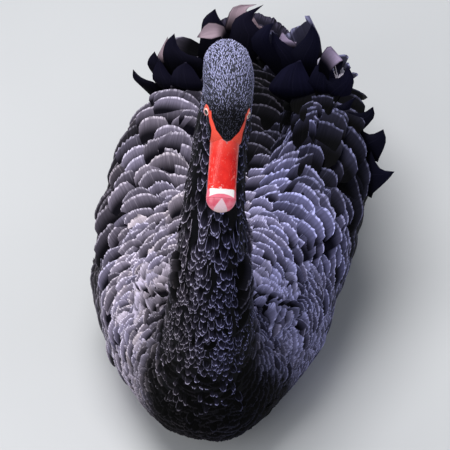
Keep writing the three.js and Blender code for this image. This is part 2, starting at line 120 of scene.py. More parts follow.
# Skin: torso, wings, neck and head as one closed form, so that no seam shows between them, sunk
# by a coat's depth for the feathers. It is nearly black under them, and bare and red only in the
# narrow strip from the bill to each eye.
SKIN_GRAIN = 0.003  # size of the cells that the forms are melted together in
COAT_DEPTH = 0.0025
NECK_FOOT = 0.008  # how far left of the body's middle the neck stands


class Value:
    """A number, colour or vector on its way through a material."""

    def __init__(self, finish, socket):
        self.finish = finish
        self.socket = socket

    def maths(self, operation, *others):
        return self.finish.node("ShaderNodeMath", [self, *others], operation=operation)

    def other(self, output):
        return Value(self.finish, self.socket.node.outputs[output])

    def __add__(self, value):
        return self.maths("ADD", value)

    def __sub__(self, value):
        return self.maths("SUBTRACT", value)

    def __rsub__(self, value):
        return self.finish.node("ShaderNodeMath", [value, self], operation="SUBTRACT")

    def __mul__(self, value):
        return self.maths("MULTIPLY", value)

    def __pow__(self, value):
        return self.maths("POWER", value)

    __radd__ = __add__

    def step(self, start, end):
        """0 before start, 1 after end, and smooth between them"""
        settings = {"interpolation_type": "SMOOTHSTEP"}
        return self.finish.node("ShaderNodeMapRange", [self, start, end], **settings)


class Finish:
    """A material with one Principled shader"""

    def __init__(self, name, **numbers):
        self.material = bpy.data.materials.new(name)
        self.material.use_nodes = True
        self.tree = self.material.node_tree
        self.shader = self.tree.nodes["Principled BSDF"]
        for socket, number in numbers.items():
            self.shader.inputs[socket.replace("_", " ")].default_value = number

    def node(self, kind, inputs=(), output=0, **settings):
        made = self.tree.nodes.new(kind)
        for name, setting in settings.items():
            setattr(made, name, setting)
        pairs = inputs.items() if isinstance(inputs, dict) else enumerate(inputs)
        for place, value in pairs:
            if isinstance(value, Value):
                self.tree.links.new(value.socket, made.inputs[place])
            else:
                made.inputs[place].default_value = value
        return Value(self, made.outputs[output])

    def mix(self, factor, first, second, blend="MIX"):
        """A blend of two colours, each a value, a colour or its screen code"""
        first, second = (paint(colour) if isinstance(colour, str) else colour for colour in (first, second))
        inputs = {0: factor, 6: first, 7: second}
        return self.node("ShaderNodeMix", inputs, output=2, data_type="RGBA", blend_type=blend)

    def attribute(self, name):
        return self.node("ShaderNodeAttribute", output="Fac", attribute_name=name)

    def noise(self, scale, detail=2.0, vector=None):
        inputs = {"Scale": scale, "Detail": detail}
        inputs["Vector"] = vector or self.node("ShaderNodeTexCoord", output="Object")
        return self.node("ShaderNodeTexNoise", inputs)

    def vector(self, x, y, z):
        return self.node("ShaderNodeCombineXYZ", [x, y, z])

    def bump(self, height, strength, distance):
        inputs = {"Strength": strength, "Distance": distance, "Height": height}
        self.feed("Normal", self.node("ShaderNodeBump", inputs))

    def feed(self, socket, value):
        self.tree.links.new(value.socket, self.shader.inputs[socket])


def paint(code):
    """A colour from its screen code, as the shaders count it"""
    parts = [int(code[i : i + 2], 16) / 255 for i in (0, 2, 4)]
    return (*[c / 12.92 if c <= 0.04045 else ((c + 0.055) / 1.055) ** 2.4 for c in parts], 1)


def drawn_ball(around, along, place_at):
    """A closed form drawn from a ball. place_at says where each place of the ball goes, from its
    share of the form's length, its angle and how far out the ball reaches there."""
    form = bmesh.new()
    bmesh.ops.create_uvsphere(form, u_segments=around, v_segments=along, radius=1)
    for vert in form.verts:
        reach = math.sqrt(max(0.0, 1 - vert.co.z**2))
        vert.co = place_at((1 - vert.co.z) / 2, math.atan2(vert.co.y, vert.co.x), reach)
    bmesh.ops.recalc_face_normals(form, faces=form.faces)
    return form


def mesh_of(form, name):
    """A smoothly shaded mesh from a modelled form, which is freed"""
    mesh = bpy.data.meshes.new(name)
    form.to_mesh(mesh)
    form.free()
    mesh.polygons.foreach_set("use_smooth", [True] * len(mesh.polygons))
    return mesh


def finished(mesh, material, slot, nodes=()):
    """Puts a mesh in the scene as one of the swan's pieces, under the mesh's own name"""
    piece = bpy.data.objects.new(mesh.name, mesh)
    bpy.context.scene.collection.objects.link(piece)
    mesh.materials.append(material)
    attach(piece, "root")
    if nodes:
        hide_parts(*nodes)
    return piece


def baked(piece):
    """The mesh that a piece's modifiers give, in place of its own"""
    graph = bpy.context.evaluated_depsgraph_get()
    made = bpy.data.meshes.new_from_object(piece.evaluated_get(graph))
    piece.modifiers.clear()
    piece.data = made
    return made


# Share of the neck, its middle, half width and half depth, in millimetres
NECK_LINE = through(
    [
        [0.0, 8, -125, 82, 62, 62],
        [0.14, 8, -178, 112, 59, 64],
        [0.27, 8, -208, 162, 52, 55],
        [0.41, 10, -208, 222, 42.5, 44],
        [0.55, 10, -190, 283, 35, 36],
        [0.68, 11, -168, 340, 30, 31],
        [0.79, 15, -153, 390, 27.5, 29],
        [0.89, 20, -146, 434, 26.5, 28.5],
        [0.95, 22.5, -146.5, 461, 26, 28.5],
        [1.0, 25, -151, 487, 25, 27.5],
    ]
)
FLESH = ("torso", "neck_lower", "neck_upper", "head")
flesh = bmesh.new()
for node in FLESH[:3]:
    flesh.from_mesh(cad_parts[node].data)
bmesh.ops.remove_doubles(flesh, verts=flesh.verts, dist=1e-6)


def add_muscle(middle, half_size):
    """Adds a rounded swelling of muscle to the flesh"""
    muscle = Matrix.Translation(middle) @ Matrix.Diagonal((*half_size, 1))
    bmesh.ops.create_uvsphere(flesh, u_segments=40, v_segments=30, radius=1, matrix=muscle)


for side in SIDES:
    wing = drawn_ball(40, 30, lambda share, angle, _: wing_point(side, share, angle))
    flesh.from_mesh(mesh_of(wing, "wing"))
    add_muscle((NECK_FOOT + SIDES[side] * 0.056, -0.062, 0.155), (0.048, 0.122, 0.042))
add_muscle((NECK_FOOT, -0.200, 0.122), (0.060, 0.066, 0.048))
HEAD_AT = Vector((0.0275, -0.2248, 0.4577))
head_turn = (
    Matrix.Rotation(math.radians(3.7), 3, "Z")
    @ Matrix.Rotation(math.radians(32.2), 3, "X")
    @ Matrix.Rotation(math.radians(10.6), 3, "Y")
)
head_pose = Matrix.Translation(HEAD_AT) @ head_turn.to_4x4()

# Share of the head's length, height of its axis, half height and half width, in millimetres
HEAD_FRONT = 12
HEAD_BACK = -108
HEAD_FORM = through(
    [
        [0.0, 1, 24, 31],
        [0.1, 1.5, 23, 30],
        [0.2, 2.3, 22, 25],
        [0.31, 3, 22, 22.6],
        [0.43, 3.5, 23.2, 23.6],
        [0.57, 2.6, 24.6, 25.6],
        [0.71, -2, 27.6, 28],
        [0.85, -10, 29.6, 31],
        [1.0, -20, 26, 29],
    ]
)
head_ball = bmesh.new()
bmesh.ops.create_uvsphere(head_ball, u_segments=64, v_segments=48, radius=1)
for vert in head_ball.verts:
    share = (1 - vert.co.z) / 2
    axis, half_height, half_width = HEAD_FORM(share)
    across, rise = vert.co.x * half_width, axis + vert.co.y * half_height
    vert.co = (across, -(HEAD_FRONT + (HEAD_BACK - HEAD_FRONT) * share), rise)
bmesh.ops.transform(head_ball, matrix=head_pose @ Matrix.Scale(0.001, 4), verts=head_ball.verts)
bmesh.ops.recalc_face_normals(head_ball, faces=head_ball.faces)
flesh.from_mesh(mesh_of(head_ball, "head"))


def nape_place(share, angle, reach):
    """A place on the nape, which is the neck's top fifth with rounded ends"""
    share = 0.8 + 0.2 * share
    nearby = (share, min(share + 0.01, 1), share - 0.01)
    here, above, under = (Vector(NECK_LINE(place)[:3]) for place in nearby)
    upward = (above - under).normalized()
    across = (Vector((1, 0, 0)) - upward * upward.x).normalized()
    half_width, half_depth = NECK_LINE(share)[3:]
    spread = across * math.cos(angle) * half_width + across.cross(upward) * math.sin(angle) * half_depth
    return (here + spread * min(1.0, 2.5 * reach)) * 0.001


flesh.from_mesh(mesh_of(drawn_ball(40, 32, nape_place), "nape"))
skin_mesh = mesh_of(flesh, "skin")

skin_finish = Finish("swan skin", Roughness=0.7, Specular_IOR_Level=0.08)


def head_place(finish):
    """Across, backwards and up in the head's own frame, in millimetres"""
    moved = finish.node(
        "ShaderNodeVectorMath",
        [finish.node("ShaderNodeTexCoord", output="Object"), HEAD_AT],
        operation="SUBTRACT",
    )
    return [
        finish.node("ShaderNodeVectorMath", [moved, axis * 1000], output="Value", operation="DOT_PRODUCT")
        for axis in head_turn.transposed()
    ]


# The bare strip, seen in the head's frame: how far from the middle it starts and ends, and how
# low it reaches, at places behind the bill's base. Millimetres.
STRIP_OUTER = ((-4.5, 15.0), (6, 15.2), (10, 16.2), (18, 18.8), (25, 21.5))
STRIP_INNER = ((-4.5, 0.0), (-3, 3.6), (6, 11.4), (18, 16.2), (25, 17.0))
STRIP_LOWER = ((-4.5, -9.0), (-2.6, -6.0), (-0.6, 4.6), (2.6, 7.0), (10, 8.4), (17, 9.6), (25, 8.0))


def curve_node(finish, value, places):
    """A value read off a line through a few places, by a curve node that runs from 0 to 1"""
    lowest, highest = places[0][0], places[-1][0]
    bottom = min(height for _, height in places)
    top = max(height for _, height in places)
    node = finish.tree.nodes.new("ShaderNodeFloatCurve")
    line = node.mapping.curves[0]
    for number, (place, height) in enumerate(places):
        spot = ((place - lowest) / (highest - lowest), (height - bottom) / (top - bottom))
        if number in (0, len(places) - 1):
            line.points[0 if number == 0 else -1].location = spot
        else:
            line.points.new(*spot)
    for dot in line.points:
        dot.handle_type = "VECTOR"
    node.mapping.update()
    share = ((value - lowest) * (1 / (highest - lowest))).maths("MAXIMUM", 0).maths("MINIMUM", 1)
    finish.tree.links.new(share.socket, node.inputs["Value"])
    return Value(finish, node.outputs[0]) * (top - bottom) + bottom


def bare_strip(finish):
    """1 on the bare red strips between the bill and the eyes"""
    across, back, up = head_place(finish)
    out = across.maths("ABSOLUTE")
    inner = (out - curve_node(finish, back, STRIP_INNER)).step(-0.4, 0.4)
    lower = (up - curve_node(finish, back, STRIP_LOWER)).step(-0.5, 0.5)
    outer = 1 - (out - curve_node(finish, back, STRIP_OUTER)).step(-0.4, 0.4)
    ahead = 1 - back.step(24, 26)
    return inner * outer * lower * ahead


strip = bare_strip(skin_finish)
skin_mottle = skin_finish.noise(160)
dark_skin = skin_finish.mix(skin_mottle, "050507", "0e0e13")
_, skin_back, skin_up = head_place(skin_finish)
under_crown = skin_back.step(20, 45) * skin_up.step(-40, -20)
dark_skin = skin_finish.mix(under_crown, dark_skin, "34353f")
red_skin = skin_finish.mix(skin_finish.noise(900, 4), "d8352b", "ff6a55")
skin_finish.feed("Base Color", skin_finish.mix(strip, dark_skin, red_skin))
skin_finish.feed("Roughness", 0.75 - strip * 0.35)
skin_finish.bump(skin_finish.noise(1400, 3), 0.25, 0.0006)

WING_NODES = ("wing_left", "wing_right")
skin = finished(skin_mesh, skin_finish.material, "body_plumage", FLESH + WING_NODES)
grain = skin.modifiers.new("grain", "REMESH")
grain.mode = "VOXEL"
grain.voxel_size = SKIN_GRAIN


def weighted(name, weigh):
    """A vertex group of the skin, with weights read off each vertex's place"""
    group = skin.vertex_groups.new(name=name)
    for vert in skin.data.vertices:
        group.add([vert.index], float(weigh(*vert.co)), "REPLACE")
    return name


def evened(factor, rounds, group=""):
    """Smooths the skin, or the part of it that a vertex group names"""
    smoothing = skin.modifiers.new("smoothing", "SMOOTH")
    smoothing.factor = factor
    smoothing.iterations = rounds
    smoothing.vertex_group = group


def beside_neck(x, y, z):
    """1 in the hollows beside the neck's foot and ahead of them, where the skin is levelled most"""
    here = np.interp(abs(x - NECK_FOOT), (0.03, 0.045, 0.09, 0.105), (0, 1, 1, 0))
    here *= np.clip((z - 0.13) / 0.02, 0, 1)
    here *= np.interp(y, (-0.17, -0.14, 0.03, 0.06), (0, 1, 1, 0))
    ahead = np.interp(z, (0.07, 0.10, 0.16, 0.20), (0, 1, 1, 0))
    return max(here, ahead * np.interp(y, (-0.20, -0.17), (1, 0)))


def off_neck(_, y, z):
    """1 on the trunk and 0 on the neck and the head"""
    return np.clip((0.30 - z) / 0.06, 0, 1) * np.clip((y + 0.16) / 0.06, 0, 1)


evened(0.6, 10)
baked(skin)
evened(0.6, 60, weighted("below the neck", off_neck))
evened(0.9, 160, weighted("hollow beside the neck", beside_neck))
shrinking = skin.modifiers.new("shrinking", "DISPLACE")
shrinking.mid_level = 0
shrinking.strength = -COAT_DEPTH
shrinking.vertex_group = weighted("deep coat", lambda x, y, z: np.interp(z, (0.24, 0.34), (1.0, 0.2)))
skin_mesh = baked(skin)
skin_mesh.polygons.foreach_set("use_smooth", [True] * len(skin_mesh.polygons))


# Neck plumage: scaly tufts that bunch into ropes down the neck, with dark furrows between them.
# Every third rope lies deeper than its neighbours, its tufts darkened with painted shade for the
# furrows, and all of them wander a little. A tuft, like every feather, is a thin closed vane that
# grows along a path, and those of a region are one mesh.
ROPES = 27
ROPE_START = 0.17
FORK = (0.40, 0.62)  # shares of the neck between which the ropes fork in two
ROPE_END = 0.95
ROPE_DEPTH = 0.0016  # how much deeper every third rope lies
NECK_LOWEST = 0.098  # where the neck's tufts end above the breast
PATH_STEPS = 16
FLOOR_GAP = 0.0006  # how far above the floor the lowest feathers stay
PATCH = 0.003  # how much of the unwrap each feather takes, at its root's place


def unit(vectors):
    return vectors / np.maximum(np.linalg.norm(vectors, axis=-1, keepdims=True), 1e-12)


def upright(normals, ahead):
    """Normals squared up to the directions that go with them"""
    return unit(normals - ahead * (normals * ahead).sum(-1, keepdims=True))


def smooth(value, start, end):
    """0 before start, 1 after end, and smooth between them"""
    t = np.clip((value - start) / (end - start), 0, 1)
    return t * t * (3 - 2 * t)


def for_each(value, count):
    """A column with one number for each of a count of vanes"""
    return np.broadcast_to(np.asarray(value, float), (count,))[:, None]


def grown_paths(root, ahead, normal, length, lift, bend, sink):
    """Paths that leave the surface at a lift and bend evenly, in radians, towards their tips"""
    length, lift, bend, sink = (for_each(value, len(root)) for value in (length, lift, bend, sink))
    share = np.linspace(0, 1, PATH_STEPS + 1)[None, :]
    angle = (lift + bend * share)[..., None]
    ahead, normal = ahead[:, None, :], normal[:, None, :]
    way = ahead * np.cos(angle) + normal * np.sin(angle)
    up = normal * np.cos(angle) - ahead * np.sin(angle)
    stride = (way[:, 1:] + way[:, :-1]) / 2 * (length / PATH_STEPS)[..., None]
    travelled = np.concatenate([np.zeros((len(root), 1, 3)), np.cumsum(stride, axis=1)], axis=1)
    start = root[:, None, :] - normal * sink[..., None]
    return start + travelled, up


def vane_faces(columns, rows):
    """Corners of one closed vane: an upper and an under side that share their rim"""
    top = np.arange((rows + 1) * (columns + 1)).reshape(rows + 1, columns + 1)
    under = top.copy()
    inner = (rows - 1) * (columns - 1)
    under[1:-1, 1:-1] = top.size + np.arange(inner).reshape(rows - 1, columns - 1)
    faces = np.stack([top[:-1, :-1], top[:-1, 1:], top[1:, 1:], top[1:, :-1]], -1).reshape(-1, 4)
    turned = np.stack([under[:-1, :-1], under[1:, :-1], under[1:, 1:], under[:-1, 1:]], -1)
    return np.concatenate([faces, turned.reshape(-1, 4)])


def joined_vanes(name, places, flat, unwrap, own):
    """One mesh of a region's vanes, with their unwraps, sharp rims and own numbers"""
    count, size = places.shape[:2]
    rim = np.ones(flat.shape[:2], bool)
    rim[1:-1, 1:-1] = False
    beneath = np.zeros(size)
    beneath[rim.size :] = 1
    corners = vane_faces(flat.shape[1] - 1, flat.shape[0] - 1)
    rim = np.concatenate([rim.ravel(), np.zeros(size - rim.size, bool)])
    flat = np.concatenate([flat.reshape(-1, 2), flat[1:-1, 1:-1].reshape(-1, 2)])
    faces = (corners[None] + np.arange(count)[:, None, None] * size).reshape(-1)

    mesh = bpy.data.meshes.new(name)
    mesh.vertices.add(count * size)
    mesh.vertices.foreach_set("co", places.reshape(-1))
    mesh.loops.add(len(faces))
    mesh.loops.foreach_set("vertex_index", faces)
    mesh.polygons.add(len(faces) // 4)
    mesh.polygons.foreach_set("loop_start", np.arange(0, len(faces), 4))
    mesh.update(calc_edges=True)
    mesh.polygons.foreach_set("use_smooth", np.ones(len(faces) // 4, bool))
    ends = np.empty(len(mesh.edges) * 2, int)
    mesh.edges.foreach_get("vertices", ends)
    on_rim = rim[ends.reshape(-1, 2) % size].all(1)
    mesh.attributes.new("sharp_edge", "BOOLEAN", "EDGE").data.foreach_set("value", on_rim)

    patches = unwrap[:, None, :] + (flat[None] - 0.5) * PATCH
    for title, spots in (("OFBake", patches), ("Vane", np.broadcast_to(flat, patches.shape))):
        layer = mesh.uv_layers.new(name=title)
        layer.data.foreach_set("uv", spots.reshape(-1, 2)[faces].reshape(-1))
    for title, values in {"beneath": beneath[None], **own}.items():
        spread = np.broadcast_to(values, (count, size)).reshape(-1)
        mesh.attributes.new(title, "FLOAT", "POINT").data.foreach_set("value", spread.copy())
    return mesh


def swept_vanes(
    name, path, up, width, unwrap, shape, rng,
    tone=0.5, shade=1.0, warmth=0.5, fray=1.0, skew=0.0, rounding=None, side=None,
):
    """A mesh of vanes, each swept along its own path with its broad side square to up"""
    count, steps = len(path), path.shape[1] - 1
    columns, rows = shape["columns"], np.array(shape["rows"], float)
    u, t = np.meshgrid(np.linspace(-1, 1, columns + 1), rows)
    ahead = unit(np.gradient(path, axis=1))
    side = unit(np.cross(ahead, up)) if side is None else side
    up = unit(np.cross(side, ahead))
    leaning = np.clip(u + for_each(skew, count)[..., None] * (1 - u**2) * 0.5, -1, 1)
    rounding = for_each(shape.get("rounding", 0) if rounding is None else rounding, count)[..., None]
    place = t * (1 - rounding * (1 - np.sqrt(1 - 0.96 * leaning**2))) * steps
    low = np.minimum(place.astype(int), steps - 1)
    part = place - low
    vane = np.arange(count)[:, None, None]

    def along(curve):
        share = part if curve.ndim == 2 else part[..., None]
        return curve[vane, low] * (1 - share) + curve[vane, low + 1] * share

    if np.ndim(width) == 2:
        half = along(width) / 2
    else:
        half = for_each(width, count)[..., None] / 2 * np.interp(t, *shape["outline"])
    tall = along(up)
    wave = shape.get("ripple", 0) * np.sin(6.3 * (t * 1.3 + rng.random((count, 1, 1)))) * u * np.abs(u)
    points = along(path) + along(side) * (u * half)[..., None]
    points += tall * (half * (wave - shape["camber"] * u**2))[..., None]
    reach = np.linalg.norm(path[:, -1] - path[:, 0], axis=-1)
    fray, depth = for_each(fray, count), shape.get("teeth", 0)
    teeth = rng.uniform(-1, 1, (count, columns + 1)) * depth * fray
    teeth[:, 1::2] -= depth * fray * 0.7
    points[:, -1] += along(ahead)[:, -1] * (teeth * reach[:, None])[..., None]
    under = points[:, 1:-1, 1:-1] - tall[:, 1:-1, 1:-1] * shape["thickness"]
    everything = np.concatenate([points.reshape(count, -1, 3), under.reshape(count, -1, 3)], axis=1)
    everything[..., 2] = np.maximum(everything[..., 2], FLOOR_GAP)

    own = {"tone": tone, "shade": shade, "warmth": warmth}
    own = {title: for_each(value, count) for title, value in own.items()}
    return joined_vanes(name, everything, np.stack([(u + 1) / 2, t], -1), unwrap, own)


def plumage(name, deep, middle, edge, shown=0.6, lines=12.0, fray=0.7, rim=0.12, sides=0.0, under=None):
    """Feather finish: deep where it is covered, as painted shade, barbs of the middle colour, and a frayed
    edge
    """
    finish = Finish(name, Roughness=0.65, Specular_IOR_Level=0.05)
    split = finish.node("ShaderNodeSeparateXYZ", [finish.node("ShaderNodeUVMap", uv_map="Vane")])
    out = (split * 2 - 1).maths("ABSOLUTE")
    along = split.other("Y")
    tone = finish.attribute("tone")
    barb_place = finish.vector((split - along * out * 0.12) * lines, along * 1.6, tone * 61)
    barb = finish.noise(1.0, 2.0, barb_place)
    # Painted shade: each vane is deep at its covered root and grows lighter towards its tip
    lit = along.step(shown, 1.04)
    body = lit * (0.45 + barb * 1.1) * (0.55 + tone * 0.8)
    colour = finish.mix(body.maths("MINIMUM", 1), deep, middle)
    rim_here = along.step(1 - rim, 1 - rim * 0.2)
    if sides:
        rim_here = rim_here.maths("MAXIMUM", out.step(1 - sides, 1) * along.step(0.25, 0.6) * 0.8)
    shaft = 1 - out.step(0.012, 0.035)
    frayed = rim_here * (barb.step(0.35, 0.65) * fray + 1 - fray) * (0.6 + tone * 0.4)
    # The shade attribute is painted shade, and painted light where it is above 1, that each feather carries
    shade = finish.attribute("shade")
    grey = finish.node("ShaderNodeCombineColor", [shade, shade, shade])
    colour = finish.mix(1.0, colour, grey, "MULTIPLY")
    edging = frayed.maths("MAXIMUM", shaft * lit * 0.14) * shade**0.6
    colour = finish.mix(edging, colour, edge)
    gaps = along.step(0.89, 0.98) * (1 - barb.step(0.42, 0.55)) * fray
    colour = finish.mix(gaps, colour, deep)
    # The paler underside shows only towards the tip; nearer the root painted shade keeps it dark
    if under:
        vein = finish.mix(barb, under, [channel * 0.7 for channel in under])
        colour = finish.mix(finish.attribute("beneath") * along.step(0.5, 0.75), colour, vein)
    # Painted light: warmth tints a feather warm where it is high and cool blue, as in shade, where it is low
    warm = finish.mix(finish.attribute("warmth"), (0.83, 0.87, 1.40, 1), (1.09, 0.99, 0.98, 1))
    colour = finish.mix(1.0, colour, warm, "MULTIPLY")
    finish.feed("Base Color", colour)
    finish.bump(barb + shaft * 0.3, 0.5, 0.0010)
    return finish.material


skin_tree = BVHTree.FromObject(skin, bpy.context.evaluated_depsgraph_get())
neck_line = NECK_LINE(np.linspace(0, 1, 161))[:, :3] * 0.001


def neck_rays(shares, angles):
    """Places on the skin straight out from the neck's middle: angle 0 is its left side, and a
    quarter turn is its front. Also the way down there and how far out each lies."""
    rows = NECK_LINE(shares)[:, :3] * 0.001
    step = 0.01
    above, below = (NECK_LINE(np.clip(shares + away, 0, 1))[:, :3] for away in (step, -step))
    up = unit(above - below)
    side = upright(np.broadcast_to((1.0, 0.0, 0.0), up.shape), up)
    out = side * np.cos(angles)[:, None] + np.cross(side, up) * np.sin(angles)[:, None]
    spots, normals, reach = [], [], []
    for middle, way in zip(rows, out):
        spot, normal, _, distance = skin_tree.ray_cast(middle, way)
        spots.append(middle if spot is None else spot)
        normals.append(way if spot is None else normal)
        reach.append(1.0 if spot is None else distance)
    return np.array(spots), unit(np.array(normals)), -up, np.array(reach)


rng = np.random.default_rng(17)
neck_length = np.linalg.norm(np.diff(neck_line, axis=0), axis=1).sum()
ropes, shares, angles, finer = [], [], [], []
for rope in range(2 * ROPES):
    share = ROPE_START + rng.uniform(0, 0.02)
    end = ROPE_END if rope % 2 else rng.uniform(*FORK)
    while share < end:
        split = 2 - smooth(share, *FORK)
        wander = 0.45 * math.sin(share * 15 + rope * 0.45) + 0.3 * math.sin(share * 38 + rope * 1.45)
        radius = NECK_LINE(np.array([share]))[0, 3] * 0.001
        ropes.append(rope)
        shares.append(share)
        angles.append((rope / 2 + (wander + rng.normal(0, 0.10)) / split) / ROPES * 2 * math.pi)
        finer.append(split)
        share += 2 * math.pi * radius / ROPES / split * 0.78 / neck_length * rng.uniform(0.8, 1.2)
count = len(shares)
ropes, shares, angles, finer = (np.array(values) for values in (ropes, shares, angles, finer))
deeper = (ropes % 6 == 1) * (0.5 + 0.5 * np.abs(np.cos(angles)))
roots, normals, lies, reach = neck_rays(shares, angles)
near = reach < np.interp(shares, (0.1, 0.3, 0.42, 0.5, 0.8), (0.11, 0.064, 0.055, 0.050, 0.042))
near &= roots[:, 2] > NECK_LOWEST
near &= (shares > 0.33) | ((roots[:, 0] > -0.046) & (roots[:, 0] < 0.050) & (roots[:, 1] < -0.16))
widths = 2 * math.pi * np.minimum(reach, 0.06) / ROPES / finer * rng.uniform(1.1, 1.5, count)
roots = roots - normals * (ROPE_DEPTH * deeper)[:, None]
drift = rng.normal(0, 0.13, (count, 1)) * np.cross(lies, normals)
lies = upright(unit(lies + drift), normals)
lifts = 0.09 + 0.11 * rng.random(count)
paths, ups = grown_paths(roots, lies, normals, widths * rng.uniform(1.8, 2.6, count), lifts, -0.12, 0.0006)
unwrap = np.stack([angles % (2 * math.pi) / (2 * math.pi) * 0.98, shares], -1)
# Painted shade: the deeper ropes are darker, so are the tufts on the neck's left side, and at its foot the
# tufts go nearly black
shades = (1 - 0.75 * deeper) * (1 - 0.4 * smooth(np.cos(angles), 0.2, 0.8))
shades *= 0.004 + 0.996 * smooth(roots[:, 2], 0.115, 0.150)
NECK_TUFT = {
    "columns": 6,
    "rows": [0, 0.3, 0.6, 0.85, 1],
    "outline": ([0, 0.25, 0.6, 1], [0.5, 0.95, 1, 0.9]),
    "rounding": 0.34,
    "camber": 0.24,
    "teeth": 0.03,
    "thickness": 0.0004,
}
neck_colours = ("040407", "2c2a35", "d6d4ea")
neck_finish = plumage("neck plumage", *neck_colours, shown=0.4, lines=7.0, fray=0.75, sides=0.2)
neck_roots = roots[near]
for name, part in (("neck_upper_plumage", shares > 0.5), ("neck_lower_plumage", shares <= 0.5)):
    part = part & near
    # The warmth is painted light: warm on the neck's right side and cool on its left, which is in shade
    neck_mesh = swept_vanes(
        name, paths[part], ups[part], widths[part], unwrap[part], NECK_TUFT, rng,
        tone=rng.random(part.sum()),
        shade=shades[part],
        warmth=1 - smooth(roots[part, 0], -0.02, 0.04) * 0.9,
        skew=rng.normal(0, 0.4, part.sum()),
    )
    finished(neck_mesh, neck_finish, "neck_plumage")


# Trunk plumage: small streaky feathers on the breast that grow into broad rounded ones on the
# wings, the flanks and the rump. They lie in rows, each row over the roots of the next one back,
# and part at the breast to run back along both sides.
ROOT_SINK = 0.0012
TRUNK_TOP = 0.27
TRUNK_AXIS = (0.005, 0.09)  # across and up, which the unwrap goes round
TRUNK_PLACES = 260000  # as many as the feathers' roots are picked from
SMALL_WIDTH = 0.030
BROAD_WIDTH = 0.040
NECK_CLEAR = 0.0055  # how far a feather's root and tip stay from the neck's tufts
REACH = 0.026  # how far back a feather's tip is looked for


def skin_places(count, rng):
    """Random places on the skin, with the outward normals there"""
    skin_mesh.calc_loop_triangles()
    index = np.empty(len(skin_mesh.loop_triangles) * 3, int)
    skin_mesh.loop_triangles.foreach_get("vertices", index)
    where = np.empty(len(skin_mesh.vertices) * 3)
    skin_mesh.vertices.foreach_get("co", where)
    facing = np.empty(len(skin_mesh.vertices) * 3)
    skin_mesh.vertices.foreach_get("normal", facing)
    corner = where.reshape(-1, 3)[index].reshape(-1, 3, 3)
    turned = facing.reshape(-1, 3)[index].reshape(-1, 3, 3)
    area = np.linalg.norm(np.cross(corner[:, 1] - corner[:, 0], corner[:, 2] - corner[:, 0]), axis=1)
    chosen = rng.choice(len(corner), count, p=area / area.sum())
    a = np.sqrt(rng.random((count, 1)))
    b = rng.random((count, 1))
    weights = np.stack([1 - a, a * (1 - b), a * b], 1)
    return (corner[chosen] * weights).sum(1), unit((turned[chosen] * weights).sum(1))


def on_skin(points, reach):
    """Points moved on to the skin, its normals there, and which of them lay within reach of it"""
    found = [skin_tree.find_nearest(point) for point in points]
    near = np.array([distance < reach for *_, distance in found])
    return np.array([spot for spot, *_ in found]), np.array([normal for _, normal, *_ in found]), near


def above_skin(paths, rise, sink):
    """Paths pushed out wherever they would dip into the skin: they rise evenly above it"""
    flat = paths.reshape(-1, 3)
    spots, outs, _ = on_skin(flat, 1)
    least = np.linspace(0, 1, paths.shape[1])[None, :] * (np.reshape(rise, (-1, 1)) + sink) - sink
    short = np.maximum(least.reshape(-1) - ((flat - spots) * outs).sum(1), 0)
    return (flat + outs * short[:, None]).reshape(paths.shape)


def laid_down(paths, most):
    """Paths drawn in wherever they stand further off the skin than a height that grows to most"""
    flat = paths.reshape(-1, 3)
    spots, outs, _ = on_skin(flat, 1)
    allowed = np.linspace(0, 1, paths.shape[1])[None, :] * np.reshape(most, (-1, 1))
    excess = np.maximum(((flat - spots) * outs).sum(1) - allowed.reshape(-1), 0)
    return (flat - outs * excess[:, None]).reshape(paths.shape)


def tree_of(points):
    """The points in a tree that finds the nearest ones"""
    tree = KDTree(len(points))
    for number, point in enumerate(points):
        tree.insert(point, number)
    tree.balance()
    return tree


def gap_to(tree, points):
    """How far each point lies from the nearest one in the tree"""
    return np.array([tree.find(point)[2] for point in points])


def kept_apart(points, gap):
    """Which points to keep so that each has its own gap to the others"""
    tree = tree_of(points)
    free = np.ones(len(points), bool)
    kept = []
    for number, point in enumerate(points):
        if free[number]:
            kept.append(number)
            for _, near, _ in tree.find_range(point, gap[number]):
                free[near] = False
    return np.array(kept)


def across_body(points):
    """How far a place lies to the side of the middle of the back"""
    middle = np.interp(points[:, 1], (-0.15, 0.05, 0.15, 0.28), (0.008, 0.016, 0.012, -0.010))
    return points[:, 0] - middle


def row_place(points):
    """The rows follow even steps of this: they lean forward towards the flanks and up the breast"""
    lean = 0.55 - 0.30 * smooth(points[:, 1], -0.12, 0.06)
    return points[:, 1] + lean * np.minimum(np.abs(across_body(points)), 0.12) + 0.7 * points[:, 2]


# Places along the trunk, and how far apart the rows are there
PLACES = (-0.25, -0.17, -0.08, 0.02, 0.12, 0.22, 0.32)
ROW_STEPS = (0.0042, 0.0052, 0.0066, 0.0088, 0.0124, 0.0160, 0.0180)


def row_step(place):
    """How far apart the rows are there"""
    return np.interp(place, PLACES, ROW_STEPS)


def crease(points):
    """1 in the hollow on each side of the neck's foot, where feathers are narrow and dense"""
    aside = (np.abs(points[:, 0] - NECK_FOOT) - 0.060) / 0.026
    return np.exp(-(aside**2) - ((points[:, 1] + 0.170) / 0.030) ** 2)


def feather_lie(points):
    """The way feathers point: down and outwards at the breast, and backwards along both sides"""
    outward = np.sign(across_body(points)) * (0.62 - 0.50 * smooth(points[:, 1], -0.12, 0.10))
    run = np.stack([outward, np.ones(len(points)), np.full(len(points), -0.05)], -1)
    down = unit(points - (NECK_FOOT, -0.20, 0.30))
    beside = np.abs(points[:, 0] - NECK_FOOT)
    at_breast = smooth(-points[:, 1], 0.20, 0.26) * (1 - smooth(beside, 0.03, 0.08))
    return unit(unit(run) * (1 - at_breast[:, None]) + down * at_breast[:, None])


